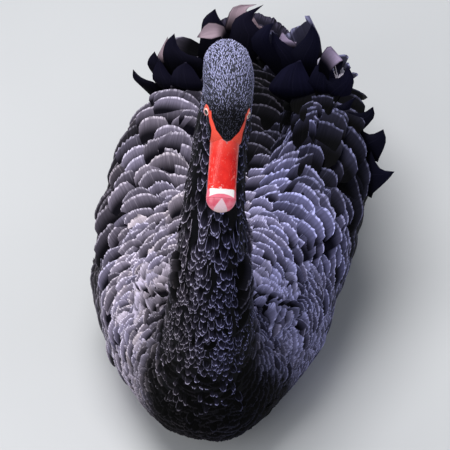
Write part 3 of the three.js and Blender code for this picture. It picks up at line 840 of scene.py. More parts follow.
rng = np.random.default_rng(37)
more, more_out = skin_places(TRUNK_PLACES, rng)
low_enough = more[:, 2] < TRUNK_TOP
more, more_out = more[low_enough], more_out[low_enough]
neck_tree = tree_of(neck_roots)
beyond = more + upright(feather_lie(more), more_out) * REACH
clear = np.maximum(gap_to(neck_tree, more), gap_to(neck_tree, beyond)) > NECK_CLEAR
more, more_out = more[clear], more_out[clear]
order = row_place(more)
roots, normals = [], []
start = order.min()
while start < order.max():
    step = row_step(start)
    in_row = np.abs(order - start - step * 0.5) < 0.0009 + step * 0.05
    row_points, row_normals = more[in_row], more_out[in_row]
    if len(row_points):
        gaps = row_step(order[in_row]) * 1.25 * (1 - 0.35 * crease(row_points))
        chosen = kept_apart(row_points, gaps)
        roots.append(row_points[chosen])
        normals.append(row_normals[chosen])
    start += step
# Lone places between the rows get a feather as well
gaps = row_step(order) * (1 - 0.6 * crease(more))
lone = gap_to(tree_of(np.concatenate(roots)), more) > gaps * 1.25
chosen = kept_apart(more[lone], gaps[lone] * 1.2)
roots = np.concatenate([*roots, more[lone][chosen]])
normals = np.concatenate([*normals, more_out[lone][chosen]])

# The size of each feather and how it lies: x, y and z are its root's place, aside is how far it
# grows from the middle of the back, and drift wanders slowly from -1 to 1
count = len(roots)
x, y, z = roots.T
aside = np.abs(across_body(roots))
place = row_place(roots)
drift = sum(np.sin(roots @ rng.normal(0, 60, 3) + rng.uniform(0, 6)) for _ in range(5)) / 5
large = smooth(x, 0.035, 0.065) * smooth(y, -0.11, -0.04)
large *= 1 - smooth(aside, 0.075, 0.100)
widths = row_step(place) * np.interp(place, (0, 0.15), (4.2, 3.4))
widths *= np.exp(rng.normal(0, 0.10, count) + 0.40 * drift) * (1 + 0.3 * large)
widths *= 1 - 0.25 * crease(roots)
lies = feather_lie(roots)
lies = upright(unit(lies + rng.normal(0, 0.06, lies.shape)), normals)
normals = unit(normals + np.cross(lies, normals) * rng.normal(0, 0.07, (count, 1)))
lengths = row_step(place) * 3.2 * rng.uniform(0.95, 1.05, count) * (1 + 0.22 * drift)
lengths *= 1 + 0.25 * large
lengths *= 1 - 0.35 * smooth(z, 0.17, 0.21) * smooth(y, -0.01, 0.05)
lifts = np.interp(widths, (0.01, 0.05), (0.20, 0.16)) + 0.03 * rng.random(count)
lifts *= smooth(z, 0.0, 0.03)
under_neck = 1 - smooth(gap_to(neck_tree, roots), 0.003, 0.010)
lifts *= 1 - 0.8 * under_neck
lifts *= 1 - 0.7 * smooth(y, 0.17, 0.22)
loose = smooth(-x, 0.10, 0.12) * np.exp(-(((y + 0.10) / 0.035) ** 2))
loose += 0.4 * smooth(-x, 0.095, 0.115) * np.exp(-(((y + 0.03) / 0.05) ** 2))
lifts += 0.34 * loose * (1 - smooth(z, 0.10, 0.15))
paths, ups = grown_paths(roots, lies, normals, lengths, lifts, -0.16, ROOT_SINK)
paths = above_skin(paths, lengths * (0.10 - 0.06 * under_neck), ROOT_SINK)
at_crease = crease(roots) > 0.05
paths[at_crease] = laid_down(paths[at_crease], lengths[at_crease] * 0.17)
around = np.arctan2(x - TRUNK_AXIS[0], z - TRUNK_AXIS[1])
unwrap = np.stack([0.5 + around / (2 * np.pi) * 0.98, (y + 0.28) / 0.58], -1)

# Painted shade and light: where the plumage is darker, and by how much. It is darkest at the
# middle of the breast, on the flanks and in the hollow behind the neck, and painted shade also
# falls on the rump, the bird's left side, its large feathers and where the neck's tufts cover
# the trunk, while painted light brightens the front of its right side.
KEEL = 0.016
from_keel = np.abs(x - KEEL) * np.where(x < KEEL, 1.15, 1)
breast_middle = smooth(-y + 0.5 * np.maximum(0.13 - z, 0), 0.17, 0.24)
breast_middle *= 1 - smooth(from_keel, 0.060, 0.115)
breast_middle *= 1 - smooth(z, 0.125, 0.155) * smooth(from_keel, 0.046, 0.058)
outer = np.where(x < 0, 0.090, 0.100)
past_neck = np.where(across_body(roots) > 0, 0.042, 0.026)
PAINTED_LIGHT_AND_SHADE = (
    (0.996, breast_middle),
    (0.9, smooth(aside, outer, outer + 0.022) * smooth(y, -0.22, -0.12)),
    (0.93, smooth(y, -0.03, 0.03) * (1 - smooth(aside, past_neck, past_neck + 0.018))),
    (0.7, smooth(y, 0.04, 0.12)),
    (0.83, smooth(x, 0.055, 0.090) * smooth(y, -0.11, -0.04)),
    (0.3, large),
    (0.75, under_neck * (1 - 0.6 * smooth(z, 0.155, 0.170))),
    (-0.5, smooth(-x, 0.03, 0.07) * smooth(-y, 0.10, 0.17)),
    (0.5, smooth(x, 0.03, 0.07) * smooth(-y, 0.09, 0.15)),
    (0.9, smooth(x, 0.06, 0.09) * smooth(y, 0.0, 0.08)),
)
shades = np.ones(count)
for amount, region in PAINTED_LIGHT_AND_SHADE:
    shades *= 1 - amount * region
# Painted light: the plumage is warm on the bird's right side and cool blue on its left, which is in shade,
# with a random tone on top
warmths = np.clip(0.8 - smooth(x, -0.01, 0.06) * 0.75 + rng.normal(0, 0.08, count), 0, 1)
frays = 0.25 + rng.random(count) ** 1.5 * np.interp(widths, (0.02, 0.045), (2.4, 0.9))
roundings = np.interp(place, (-0.1, 0.05, 0.15), (0.46, 0.42, 0.42)) * rng.uniform(0.8, 1.2, count)
skews = rng.normal(0, 0.3, count)
SMALL_VANE = {
    "columns": 12,
    "rows": [0, 0.35, 0.68, 0.88, 1],
    "outline": ([0, 0.3, 0.6, 1], [0.4, 0.9, 1, 0.97]),
    "camber": 0.12,
    "teeth": 0.05,
    "thickness": 0.0004,
}
BROAD_VANE = {
    "columns": 20,
    "rows": [0, 0.35, 0.65, 0.88, 1],
    "outline": ([0, 0.2, 0.5, 0.8, 1], [0.4, 0.8, 1, 1, 0.98]),
    "camber": 0.14,
    "teeth": 0.035,
    "thickness": 0.0005,
}
small_colours = ("0a090f", "b2adb8", "e2dee8")
broad_colours = ("07060e", "7b7783", "f2eef8")
small_finish = plumage("breast plumage", *small_colours, shown=0.34, lines=20.0, fray=0.55, rim=0.16)
broad_finish = plumage("wing plumage", *broad_colours, shown=0.5, lines=34.0, fray=0.5, rim=0.10)
small = widths < SMALL_WIDTH
broad = widths > BROAD_WIDTH
middling = ~small & ~broad
on_left = x > TRUNK_AXIS[0]
REGIONS = (
    ("breast", small, SMALL_VANE, small_finish, "body_plumage"),
    ("shoulder", middling, BROAD_VANE, broad_finish, "wing_plumage"),
    ("wing", broad, BROAD_VANE, broad_finish, "wing_plumage"),
)
for region, of_size, shape, feather_finish, slot in REGIONS:
    for side, on_side in (("left", on_left), ("right", ~on_left)):
        part = of_size & on_side
        trunk_mesh = swept_vanes(
            f"{region}_{side}_plumage", paths[part], ups[part], widths[part], unwrap[part], shape, rng,
            tone=rng.random(part.sum()),
            shade=shades[part],
            warmth=warmths[part],
            fray=frays[part],
            skew=skews[part],
            rounding=roundings[part],
        )
        finished(trunk_mesh, feather_finish, slot)


# Head plumage: very small, dense tufts that run back from the bill over the crown and cheeks and
# on down the nape. They leave the red strips and the eyes bare.
HEAD_PLACES = 700000
HEAD_FOOT = 0.41  # lowest place of the tufts, where the nape goes over into the neck
NAPE_FROM = 0.88  # share of the neck from which the tufts go all the way round
EYE_AT = Vector((0.0172, 0.0268, 0.0050))
LID_REACH = 0.0072
neck_down = unit(-np.gradient(neck_line, axis=0))
to_head = np.array(head_pose.inverted())


def by_the_neck(points):
    """For each point, the share of the neck beside it, and the way down there"""
    tree = tree_of(neck_line)
    nearest = np.array([tree.find(point)[1] for point in points])
    return nearest / (len(neck_line) - 1), neck_down[nearest]


rng = np.random.default_rng(27)
extra, extra_out = skin_places(HEAD_PLACES, rng)
high = extra[:, 2] > HEAD_FOOT
extra, extra_out = extra[high], extra_out[high]
local = extra @ to_head[:3, :3].T + to_head[:3, 3]
share, down = by_the_neck(extra)
here = (share > NAPE_FROM) | ((local[:, 2] > -0.038) & (local[:, 1] < 0.06))
extra, extra_out, local, down = extra[here], extra_out[here], local[here], down[here]
backwards = smooth(local[:, 1], 0.0, 0.07)
kept = kept_apart(extra, 0.00085 + 0.00025 * backwards)
out_mm, back_mm, up_mm = np.abs(local[kept, 0]) * 1000, local[kept, 1] * 1000, local[kept, 2] * 1000
inner, outer, lower = (np.interp(back_mm, *zip(*line)) for line in (STRIP_INNER, STRIP_OUTER, STRIP_LOWER))
bare = (out_mm > inner) & (out_mm < outer) & (up_mm > lower) & (back_mm < 25)
mirrored = local[kept] * np.where(local[kept, :1] < 0, (-1, 1, 1), (1, 1, 1))
by_eye = np.linalg.norm(mirrored - EYE_AT, axis=1) < LID_REACH
kept = kept[~bare & ~by_eye & (back_mm > -3.5)]
roots, normals, down = extra[kept], extra_out[kept], down[kept]
local, backwards = local[kept], backwards[kept]
count = len(roots)
straight = np.array(head_turn @ Vector((0, 1, 0)))
to_neck = smooth(local[:, 1:2], 0.06, 0.10) + smooth(-local[:, 2:3], 0.010, 0.030)
to_neck = np.clip(to_neck, 0, 1)
lie = straight * (1 - to_neck) + down * to_neck + rng.normal(0, 0.16, roots.shape)
lie = upright(unit(lie), normals)
widths = 0.0012 + 0.0005 * backwards
paths, ups = grown_paths(roots, lie, normals, widths * 2.8, 0.12 + 0.22 * rng.random(count), -0.2, 0.0004)
around = np.arctan2(local[:, 0], local[:, 2])
unwrap = np.stack([0.5 + around / (2 * np.pi) * 0.98, (local[:, 1] + 0.015) / 0.14], -1)
HEAD_TUFT = {
    "columns": 2,
    "rows": [0, 0.4, 1],
    "outline": ([0, 0.4, 1], [0.5, 1, 0.35]),
    "rounding": 0.45,
    "camber": 0.3,
    "thickness": 0.0003,
}
mask = 1 - smooth(local[:, 1] + rng.normal(0, 0.002, count), 0.016, 0.040)
mask *= smooth(local[:, 2], 0.000, 0.008)
head_finish = plumage("head plumage", "4a4c5e", "b4b8d2", "f0f2ff", shown=0.2, lines=3.0, rim=0.4)
head_mesh = swept_vanes(
    "head_plumage", paths, ups, widths, unwrap, HEAD_TUFT, rng,
    tone=rng.random(count),
    shade=1 - 0.93 * mask,
)
finished(head_mesh, head_finish, "head_plumage")


# Curled tertials: broad black feathers that stand up along the top of each folded wing and curl
# over at their tips, with a paler grey-brown underside. Each curls its own way.

# How far each stands forward of its neighbours, which side of it shows, how pale it is, and then
# its edges: two places up one edge, the tip and two places down the other edge, in millimetres
CURLS = {
    "right": (
        (0, 1, 1, (-107, 89, 231), (-113, 92, 238), (-113, 96, 246), (-104, 93, 238), (-87, 91, 231)),
        (-2, 1, 1, (-97, 100, 246), (-97, 105, 255), (-91, 110, 262), (-87, 107, 256), (-78, 102, 246)),
        (0, 1, 1, (-81, 101, 259), (-79, 111, 275), (-70, 117, 284), (-63, 109, 268), (-36, 105, 257)),
        (-12, -1, 0.35, (-89, 105, 251), (-85, 113, 263), (-78, 121, 276), (-77, 113, 263), (-67, 108, 251)),
        (4, 1, 1, (-90, 89, 233), (-91, 97, 246), (-85, 104, 258), (-75, 98, 244), (-56, 90, 227)),
        (2, 1, 1, (-71, 82, 239), (-67, 91, 254), (-55, 97, 262), (-46, 94, 254), (-34, 85, 237)),
        (-4, 1, 1, (-44, 137, 265), (-42, 147, 282), (-30, 154, 292), (-26, 150, 284), (-14, 141, 265)),
        (10, 1, 1.0, (-15, 139, 274), (-36, 141, 282), (-47, 131, 268), (-32, 132, 266), (-20, 134, 267)),
        (2, 1, 1, (-13, 138, 262), (-7, 151, 283), (22, 162, 296), (10, 152, 282), (32, 141, 258)),
        (-14, -1, 0.6, (-19, 143, 274), (-10, 157, 296), (15, 161, 298), (4, 157, 293), (11, 148, 276)),
        (-8, -1, 0.5, (9, 147, 269), (9, 151, 276), (12, 156, 284), (18, 152, 276), (24, 149, 269)),
    ),
    "left": (
        (4, 1, 1, (12, 127, 266), (23, 139, 283), (36, 143, 288), (32, 137, 278), (35, 129, 264)),
        (-4, 1, 1, (36, 122, 250), (35, 130, 266), (34, 139, 280), (45, 135, 271), (71, 128, 254)),
        (-16, -1, 0.22, (40, 129, 268), (42, 133, 275), (46, 138, 282), (53, 135, 275), (64, 132, 268)),
        (-16, -1, 0.22, (49, 127, 261), (53, 134, 271), (62, 135, 272), (62, 133, 268), (71, 129, 259)),
        (0, 1, 1, (53, 127, 253), (70, 141, 272), (77, 149, 286), (87, 140, 268), (85, 126, 243)),
        (6, 1, 1, (35, 94, 231), (49, 108, 252), (68, 115, 262), (75, 110, 250), (90, 98, 227)),
        (10, -1, 0.55, (89, 114, 268), (100, 122, 279), (110, 106, 250), (114, 116, 265), (102, 109, 256)),
        (0, 1, 1, (89, 102, 250), (112, 105, 250), (120, 113, 262), (128, 105, 246), (120, 89, 221)),
        (6, 1, 1, (76, 101, 235), (85, 114, 256), (96, 119, 262), (105, 112, 249), (114, 100, 225)),
        (4, 1, 1, (105, 78, 227), (120, 84, 233), (133, 89, 240), (128, 85, 233), (123, 76, 219)),
        (0, 1, 1, (120, 74, 229), (140, 76, 228), (151, 81, 234), (153, 75, 223), (137, 63, 206)),
        (0, 1, 1, (134, 66, 217), (150, 63, 209), (164, 68, 214), (168, 61, 202), (159, 48, 181)),
        (0, 1, 1, (152, 43, 203), (165, 35, 186), (180, 35, 184), (174, 30, 176), (154, 17, 158)),
    ),
}
CURL_VANE = {
    "columns": 14,
    "rows": [0, 0.12, 0.24, 0.36, 0.48, 0.6, 0.7, 0.79, 0.87, 0.94, 1],
    "camber": 0.22,
    "thickness": 0.0006,
    "ripple": 0.10,
}
curl_look = {"shown": 0.2, "lines": 20.0, "rim": 0.05, "under": paint("b8a5a6")}
curl_finish = plumage("curled feather", "030306", "131220", "3d3a48", **curl_look)
STEPS = np.linspace(0, 1, 25)
for side in SIDES:
    rng = np.random.default_rng(51 if side == "left" else 53)
    own = CURLS[side]
    places = np.array([curl[3:] for curl in own]) * 0.001
    roots, outs, _ = on_skin((places[:, 0] + places[:, 4]) / 2 + (0, 0.012, -0.02), 1)
    edges = []
    for curl, place, root, out in zip(own, places, roots, outs):
        first_low, first_high, tip, second_high, second_low = place
        start = root - out * 0.004
        half = (second_low - first_low) * 0.22
        swell = (first_low + second_low) / 2 - start
        first = [start - half, start - half + swell * 0.5 - half * 0.8, first_low, first_high, tip]
        second = [start + half, start + half + swell * 0.5 + half * 0.8, second_low, second_high, tip]
        stops = np.array([0, 0.26, 0.52, 0.80, 1.0])
        pair = [through(np.column_stack([stops, line]))(STEPS) for line in (first, second)]
        edges.append(pair if curl[1] > 0 else pair[::-1])
    edges = np.array(edges)
    paths = edges.mean(1)
    spans = edges[:, 1] - edges[:, 0]
    spans[:, -1] = spans[:, -2] * 0.1
    broad_sides = np.linalg.norm(spans, axis=-1)
    leaning = unit(np.cross(unit(spans), unit(np.gradient(paths, axis=1))))
    forward = np.array([curl[0] for curl in own])[:, None, None] * 0.001
    forward = forward + rng.uniform(0, 0.003, (len(own), 1, 1))
    paths = paths + np.array((0.09, -0.70, 0.71)) * forward * smooth(STEPS, 0.2, 0.6)[None, :, None]
    unwrap = np.stack([0.5 + roots[:, 0] * 2, 0.5 + roots[:, 1] * 2], -1)
    # The warmth is painted light: the left wing's curls are cool, as in shade, and the right's warm
    curl_mesh = swept_vanes(
        f"curled_feathers_{side}", paths, leaning, broad_sides, unwrap, CURL_VANE, rng,
        tone=rng.random(len(own)),
        shade=[curl[2] for curl in own],
        warmth=0.2 if side == "left" else 0.7,
        side=unit(spans),
    )
    finished(curl_mesh, curl_finish, "wing_plumage")


# Flight feathers: long white vanes that close over one another along the rear edge of each
# folded wing, under the curled tertials, and show from the sides and from behind.
FLIGHT_COUNT = 11
FLIGHT_LENGTH = 0.158
FLIGHT_WIDTH = 0.036
FLIGHT_VANE = {
    "columns": 10,
    "rows": [0, 0.2, 0.4, 0.6, 0.75, 0.86, 0.94, 1],
    "outline": ([0, 0.15, 0.5, 0.85, 1], [0.5, 0.9, 1, 0.9, 0.6]),
    "rounding": 0.14,
    "camber": 0.2,
    "teeth": 0.01,
    "thickness": 0.0006,
}


def wing_frames(side, shares, angles):
    """Roots on the folded wing, with the way backwards and the way out there"""
    step = 0.02
    back = unit(wing_point(side, shares + step, angles) - wing_point(side, shares - step, angles))
    over = unit(wing_point(side, shares, angles + step) - wing_point(side, shares, angles - step))
    out = unit(np.cross(back, over)) * -SIDES[side]
    return wing_point(side, shares, angles), back, out


white_finish = plumage("flight feather", "b9b5ad", "dcd9d2", "f1efe9", lines=30.0)
for side in SIDES:
    rng = np.random.default_rng(61 if side == "left" else 63)
    place = np.linspace(0, 1, FLIGHT_COUNT)
    shares = 0.64 + 0.06 * place
    angles = np.radians(78 - 92 * place)
    roots, backs, outs = wing_frames(side, shares, angles)
    sideways = np.stack([-SIDES[side] * (0.10 + 0.10 * place), 1.2 + 0 * place, -0.62 + 0.5 * place], -1)
    lies = unit(backs + sideways)
    normals = upright(outs, lies)
    lengths = FLIGHT_LENGTH + 0.010 * place
    paths, ups = grown_paths(roots, lies, normals, lengths, 0.04, -0.10, 0.004)
    unwrap = np.stack([0.5 + angles / 7, shares], -1)
    flight_mesh = swept_vanes(
        f"flight_feathers_{side}", paths, ups, FLIGHT_WIDTH, unwrap, FLIGHT_VANE, rng,
        tone=rng.random(FLIGHT_COUNT),
    )
    finished(flight_mesh, white_finish, "wing_plumage")


# Tail: a short fan of black feathers with rounded tips. It grows out of the rump's end, leans to
# the bird's right as the rump does, and overlaps like roof tiles from the middle outwards.
TAIL_ROOT = np.array((-0.012, 0.262, 0.090))
TAIL_COUNT = 15
TAIL_SPREAD = math.radians(21)
TAIL_HALF_WIDTH = 0.014  # at its roots
# Stagger, length, width and rise of each layer
TAIL_LAYERS = ((0.0, 0.096, 0.026, 0.0), (0.5, 0.074, 0.024, 0.005), (0.0, 0.056, 0.022, 0.009))
TAIL_VANE = {
    "columns": 12,
    "rows": [0, 0.2, 0.4, 0.6, 0.8, 0.92, 1],
    "outline": ([0, 0.3, 0.7, 1], [0.35, 0.8, 1, 0.95]),
    "rounding": 0.12,
    "camber": 0.22,
    "teeth": 0.012,
    "thickness": 0.0006,
}
rng = np.random.default_rng(71)
roots, lies, normals, lengths, widths = [], [], [], [], []
for stagger, length, width, rise in TAIL_LAYERS:
    for sign in (1, -1):
        place = (np.arange(TAIL_COUNT) + stagger) / (TAIL_COUNT - 1) * 2 - 1
        turn = TAIL_SPREAD * place
        height = sign * rise + 0.007 - 0.010 * place**2 - (0.004 if sign < 0 else 0)
        roots.append(TAIL_ROOT + np.stack([place * TAIL_HALF_WIDTH, 0 * place, height], -1))
        lies.append(np.stack([np.sin(turn), np.cos(turn), 0.04 + 0 * turn - 0.06 * (sign < 0)], -1))
        normals.append(np.stack([-0.16 * place * sign, -0.1 + 0 * place, sign + 0 * place], -1))
        lengths.append(length + 0.006 - 0.015 * place**2)
        widths.append(width + 0 * place)
roots, lies, normals = np.concatenate(roots), unit(np.concatenate(lies)), np.concatenate(normals)
normals = upright(normals, lies)
lengths, widths = np.concatenate(lengths), np.concatenate(widths)
count = len(roots)
paths, ups = grown_paths(roots, lies, normals, lengths, 0.02 + 0.03 * rng.random(count), 0.04, 0.0)
unwrap = np.stack([0.5 + (roots[:, 0] + 0.012) * 20, 0.5 + lengths], -1)
tail_finish = plumage("tail feather", "060609", "232129", "4b4750", lines=24.0)
tail_mesh = swept_vanes(
    "tail_feathers", paths, ups, widths, unwrap, TAIL_VANE, rng,
    tone=rng.random(count),
)
finished(tail_mesh, tail_finish, "tail_plumage", ["tail"])


# Bill: glossy red, mottled paler along its sides, with a clean white band behind the pink nail.
# Both halves are closed forms that run back into the face and meet along the gape.
BILL_LENGTH = 69.5
BILL_BACK = -14
NAIL_LENGTH = 13
NAIL_SEAM = 57  # where the nail's plate starts to rise
PLATE_LENGTH = 9.5
PLATE_HALF_WIDTH = 6.8
LOWER_BILL_DEPTH = 6.5
LOWER_BILL_INSET = 1.6  # how far the lower half stays inside the upper one's rim
GAPE_GAP = 0.15
# Distance forward, height of the gape, rise of the culmen above it, half width, in millimetres
BILL_FORM = through(
    [
        [-14, -3, 19, 12.5],
        [2, -4, 17, 14.0],
        [15, -5.4, 13.6, 13.9],
        [30, -6.8, 9.6, 14],
        [45, -8, 7.2, 14],
        [58, -8.8, 6, 14.8],
        [66, -10, 5, 15.2],
        [73, -12.6, 4.2, 15.4],
    ]
)
NOSTRIL_AT = (10.2, 31)
SHARP = 50  # degrees between faces, past which an edge stays sharp


def bill_half(upper, shrink):
    """One half of the bill, drawn in the head's frame, in millimetres"""
    way = 1 if upper else -1

    def place_at(share, angle, reach):
        forward = BILL_LENGTH - shrink + (BILL_BACK - BILL_LENGTH + shrink) * share
        gape, rise, half_width = BILL_FORM(forward)
        near_tip = min(1.0, share / 0.17)
        near_root = min(1.0, (1 - share) * 20 + reach)
        opened = max(math.sqrt(near_tip * (2 - near_tip)), reach / 2) * near_root
        outwards = math.sin(angle) * way
        swell = max(outwards, 0) ** 0.75 * (rise if upper else LOWER_BILL_DEPTH) * opened
        height = GAPE_GAP + (swell if outwards > 0 else 0.8 * max(-outwards, 0))
        across = math.cos(angle) * (half_width - shrink) * opened
        if upper:
            from_pit = Vector(((abs(across) - NOSTRIL_AT[0]) * 0.9, (forward - NOSTRIL_AT[1]) * 0.36))
            height -= 1.1 * math.exp(-from_pit.length_squared) * (outwards > 0.2)
            height += 0.35 * math.exp(-(((forward - NAIL_SEAM) / 1.6) ** 2)) * (outwards > 0.05)
        return (across, -forward, gape + way * height)

    return drawn_ball(72, 72, place_at)


def cut_across(form, forward, keep_tip):
    """Cuts a form of the bill square across and closes the cut"""
    bmesh.ops.bisect_plane(
        form,
        geom=form.verts[:] + form.edges[:] + form.faces[:],
        plane_co=(0, -forward, 0),
        plane_no=(0, -1, 0),
        clear_inner=keep_tip,
        clear_outer=not keep_tip,
    )
    bmesh.ops.holes_fill(form, edges=[edge for edge in form.edges if edge.is_boundary])
    bmesh.ops.recalc_face_normals(form, faces=form.faces)


def in_head(name, form):
    """A mesh from a form that was drawn in the head's frame, in millimetres"""
    bmesh.ops.transform(form, matrix=head_pose @ Matrix.Scale(0.001, 4), verts=form.verts)
    mesh = mesh_of(form, name)
    mesh.set_sharp_from_angle(angle=math.radians(SHARP))
    return mesh


bill_finish = Finish("bill", Roughness=0.34, Coat_Roughness=0.12, Specular_IOR_Level=0.35)
across, back, up = head_place(bill_finish)
forward = back * -1
sideways = across.maths("ABSOLUTE")
cloud = bill_finish.noise(110, 3)
fleck = bill_finish.noise(520, 3)
streak = bill_finish.noise(1.0, 3, bill_finish.vector(across * 0.9, forward * 0.16, up * 0.9))
# Painted shade: the red deepens towards the bird's left side of the bill, mixed with a real mottle of deeper
# red
shade_and_mottle = across.step(1, 9) * 0.55 + cloud.step(0.35, 0.65) * 0.45
red = bill_finish.mix(shade_and_mottle, "f02a20", "cf0604")
pale_patch = streak.step(0.56, 0.72) * sideways.step(3, 10) * 0.75
red = bill_finish.mix(pale_patch, red, "fb8f86")
near_face = 1 - forward.step(4, 20)
red = bill_finish.mix(near_face * 0.45, red, "f5594a")
red = bill_finish.mix(fleck.step(0.62, 0.72) * 0.35, red, "ff9d8f")
pink_zone = forward.step(47.5, 50)
pink = bill_finish.mix(cloud, "e5566f", "f08a9c")
red = bill_finish.mix(pink_zone, red, pink)
wobble = (bill_finish.noise(260, 2) - 0.5) * 1.6
band_start = (forward + wobble).step(47.6, 48.3)
band_end = 1 - (forward + wobble * 0.4 - sideways**2 * 0.0195).step(52.4, 53.0)
band_side = 1 - (sideways + wobble).step(11.4, 12.6)
on_top = (up + 8).step(0, 1)
band = band_start * band_end * band_side * on_top
broken = forward.step(42, 47.5) * (1 - band_start) * fleck.step(0.56, 0.64) * (1 - across.step(-4, 2))
band = band.maths("MAXIMUM", broken * 0.8)
red = bill_finish.mix(band, red, "f6f3f1")
past_feathers = sideways - curve_node(bill_finish, back, STRIP_INNER)
fringe = (1 - past_feathers.step(0.4, 1.6)) * forward.step(-2, 2) * (1 - forward.step(5, 7))
fringe = fringe * fleck.step(0.35, 0.6)
red = bill_finish.mix(fringe * 0.7, red, "8d8288")
feathered = (1 - past_feathers.step(-0.5, 0.3)) * (1 - forward.step(4.3, 4.9))
red = bill_finish.mix(feathered, red, "0b0b0e")
bill_finish.feed("Base Color", red)
bill_finish.feed("Coat Weight", 0.1 + cloud * 0.2)
bill_finish.feed("Roughness", 0.28 + fleck * 0.22)
bill_finish.bump(fleck + streak * 1.5, 0.25, 0.0005)

nail_finish = Finish("bill nail", Roughness=0.34, Coat_Roughness=0.15)
across, back, up = head_place(nail_finish)
forward = back * -1
sideways = across.maths("ABSOLUTE")
cloud = nail_finish.noise(140, 3)
grain = nail_finish.noise(1.0, 3, nail_finish.vector(across * 1.2, forward * 0.25, up * 1.2))
pink = nail_finish.mix(cloud.step(0.3, 0.7), "de4f68", "f08598")
share = ((forward - NAIL_SEAM) * (1 / PLATE_LENGTH)).maths("MAXIMUM", 0).maths("MINIMUM", 1)
arch = share**0.85 * PLATE_HALF_WIDTH
plate_here = ((arch - sideways) * 0.7).step(-0.25, 0.6)
pale = nail_finish.mix(grain, "e2b3c2", "f3dbe2")
pale = nail_finish.mix(forward.step(66, 70) * 0.5, pale, "cfa58f")
nail_finish.feed("Base Color", nail_finish.mix(plate_here, pink, pale))
nail_finish.feed("Roughness", 0.32 + grain * 0.2)
nail_finish.feed("Coat Weight", 0.3 + cloud * 0.2)
nail_finish.bump(grain + plate_here * 0.8, 0.3, 0.0004)

nail_from = BILL_LENGTH - NAIL_LENGTH
upper = bill_half(True, 0)
nail = upper.copy()
cut_across(upper, nail_from, False)
cut_across(nail, nail_from + 0.3, True)
finished(in_head("upper_bill", upper), bill_finish.material, "bill", ["bill_upper"])
finished(in_head("bill_tip", nail), nail_finish.material, "bill_nail", ["bill_nail"])
lower = bill_half(False, LOWER_BILL_INSET)
finished(in_head("lower_bill", lower), bill_finish.material, "bill", ["bill_lower"])


# Eyes: wet balls with a black pupil in a pale pink iris, set in the head where the red strips
# end. A granular red lid, drawn out to both corners, closes round each ball and hides its edge.
EYE_RADIUS = 5.6
LID_LONG = 5.3  # half the opening's length
LID_HIGH = 4.2  # and half its height
LID_TUBE = 0.3  # how thick the ring is that a lid is drawn from, against its radius
GAZE = Vector((0.80, -0.44, 0.40)).normalized()
LID_FACING = Vector((0.88, -0.34, 0.32)).normalized()

eye_finish = Finish("eye", Roughness=0.12, Coat_Weight=1.0, Coat_Roughness=0.03)
across, back, up = head_place(eye_finish)
outward_share = (across.maths("ABSOLUTE") - EYE_AT.x * 1000) * (GAZE.x / EYE_RADIUS)
backward_share = (back - EYE_AT.y * 1000) * (GAZE.y / EYE_RADIUS)
upward_share = (up - EYE_AT.z * 1000) * (GAZE.z / EYE_RADIUS)
facing = outward_share + backward_share + upward_share
fibre = eye_finish.noise(900, 4)
iris = eye_finish.mix(fibre.step(0.35, 0.7), "f3b9a8", "fff1ea")
iris = eye_finish.mix(1 - facing.step(0.66, 0.76), iris, "b8402c")
eye_finish.feed("Base Color", eye_finish.mix(facing.step(0.885, 0.905), iris, "050304"))

lid_finish = Finish("eyelid", Roughness=0.5)
grains = lid_finish.noise(1500, 2)
patches = lid_finish.noise(240, 2)
lid_colour = lid_finish.mix(patches.step(0.35, 0.65), "d93a27", "f4614a")
lid_finish.feed("Base Color", lid_finish.mix(grains.step(0.55, 0.7) * 0.5, lid_colour, "ff9a85"))
lid_finish.bump(grains, 0.6, 0.0005)

for name, side in SIDES.items():
    ball = bmesh.new()
    at_eye = Matrix.Translation((side * EYE_AT.x * 1000, EYE_AT.y * 1000, EYE_AT.z * 1000))
    bmesh.ops.create_uvsphere(ball, u_segments=48, v_segments=32, radius=EYE_RADIUS, matrix=at_eye)
    eyeball = in_head(f"eyeball_{name}", ball)
    finished(eyeball, eye_finish.material, "eye", [f"eye_{name}"])
    ring = bmesh.new()
    upended = Matrix.Translation((1, 0, 0)) @ Matrix.Rotation(math.pi / 2, 4, "X")
    bmesh.ops.create_circle(ring, segments=14, radius=LID_TUBE, matrix=upended)
    bmesh.ops.spin(
        ring,
        geom=ring.verts[:] + ring.edges[:],
        cent=(0, 0, 0),
        axis=(0, 0, 1),
        angle=2 * math.pi,
        steps=72,
        use_merge=True,
    )
    bmesh.ops.remove_doubles(ring, verts=ring.verts, dist=1e-4)
    for vert in ring.verts:
        turn = math.atan2(vert.co.y, vert.co.x)
        out = math.hypot(vert.co.x, vert.co.y) - 1
        corner = abs(math.cos(turn)) ** 6
        fold = 1 + 0.10 * math.sin(26 * turn) + 0.05 * math.sin(9 * turn)
        long_way = LID_LONG + out / LID_TUBE * (1.2 + 0.9 * corner)
        short_way = LID_HIGH + out / LID_TUBE
        height = vert.co.z / LID_TUBE * 0.9 * fold
        sunk = 3.5 - 1.5 * math.cos(turn) ** 2 - 0.6 * max(out, 0) / LID_TUBE
        vert.co = (height + sunk, math.cos(turn) * long_way, math.sin(turn) * short_way)
        vert.co.rotate(Vector((1, 0, 0)).rotation_difference(LID_FACING))
        vert.co.x *= side
    bmesh.ops.transform(ring, matrix=at_eye, verts=ring.verts)
    bmesh.ops.recalc_face_normals(ring, faces=ring.faces)
    lid = in_head(f"lid_{name}", ring)
    finished(lid, lid_finish.material, "eyelid", [f"eyelid_{name}"])


# Legs and feet: black, scaly and folded away under the belly. Each foot is three long toes with
# blunt claws and a web between them, and lies flat on the floor.

# Share of the leg's length, its place and its radius, in millimetres
LEG_LINE = through(
    [
        [0.0, 70, 156, 13, 7.4],
        [0.26, 65, 188, 19, 6.2],
        [0.52, 58, 216, 30, 7.8],
        [0.74, 50, 212, 46, 7.6],
        [1.0, 42, 188, 58, 8.5],
    ]
)
FOOT_BASE = (70, 152)
TOE_TIPS = ((57, 76), (82, 62), (107, 78))
CLAW_SINK = 3
CLAW_LENGTH = 12
WEB_HEIGHT = 2.6
WEB_THICKNESS = 1.2


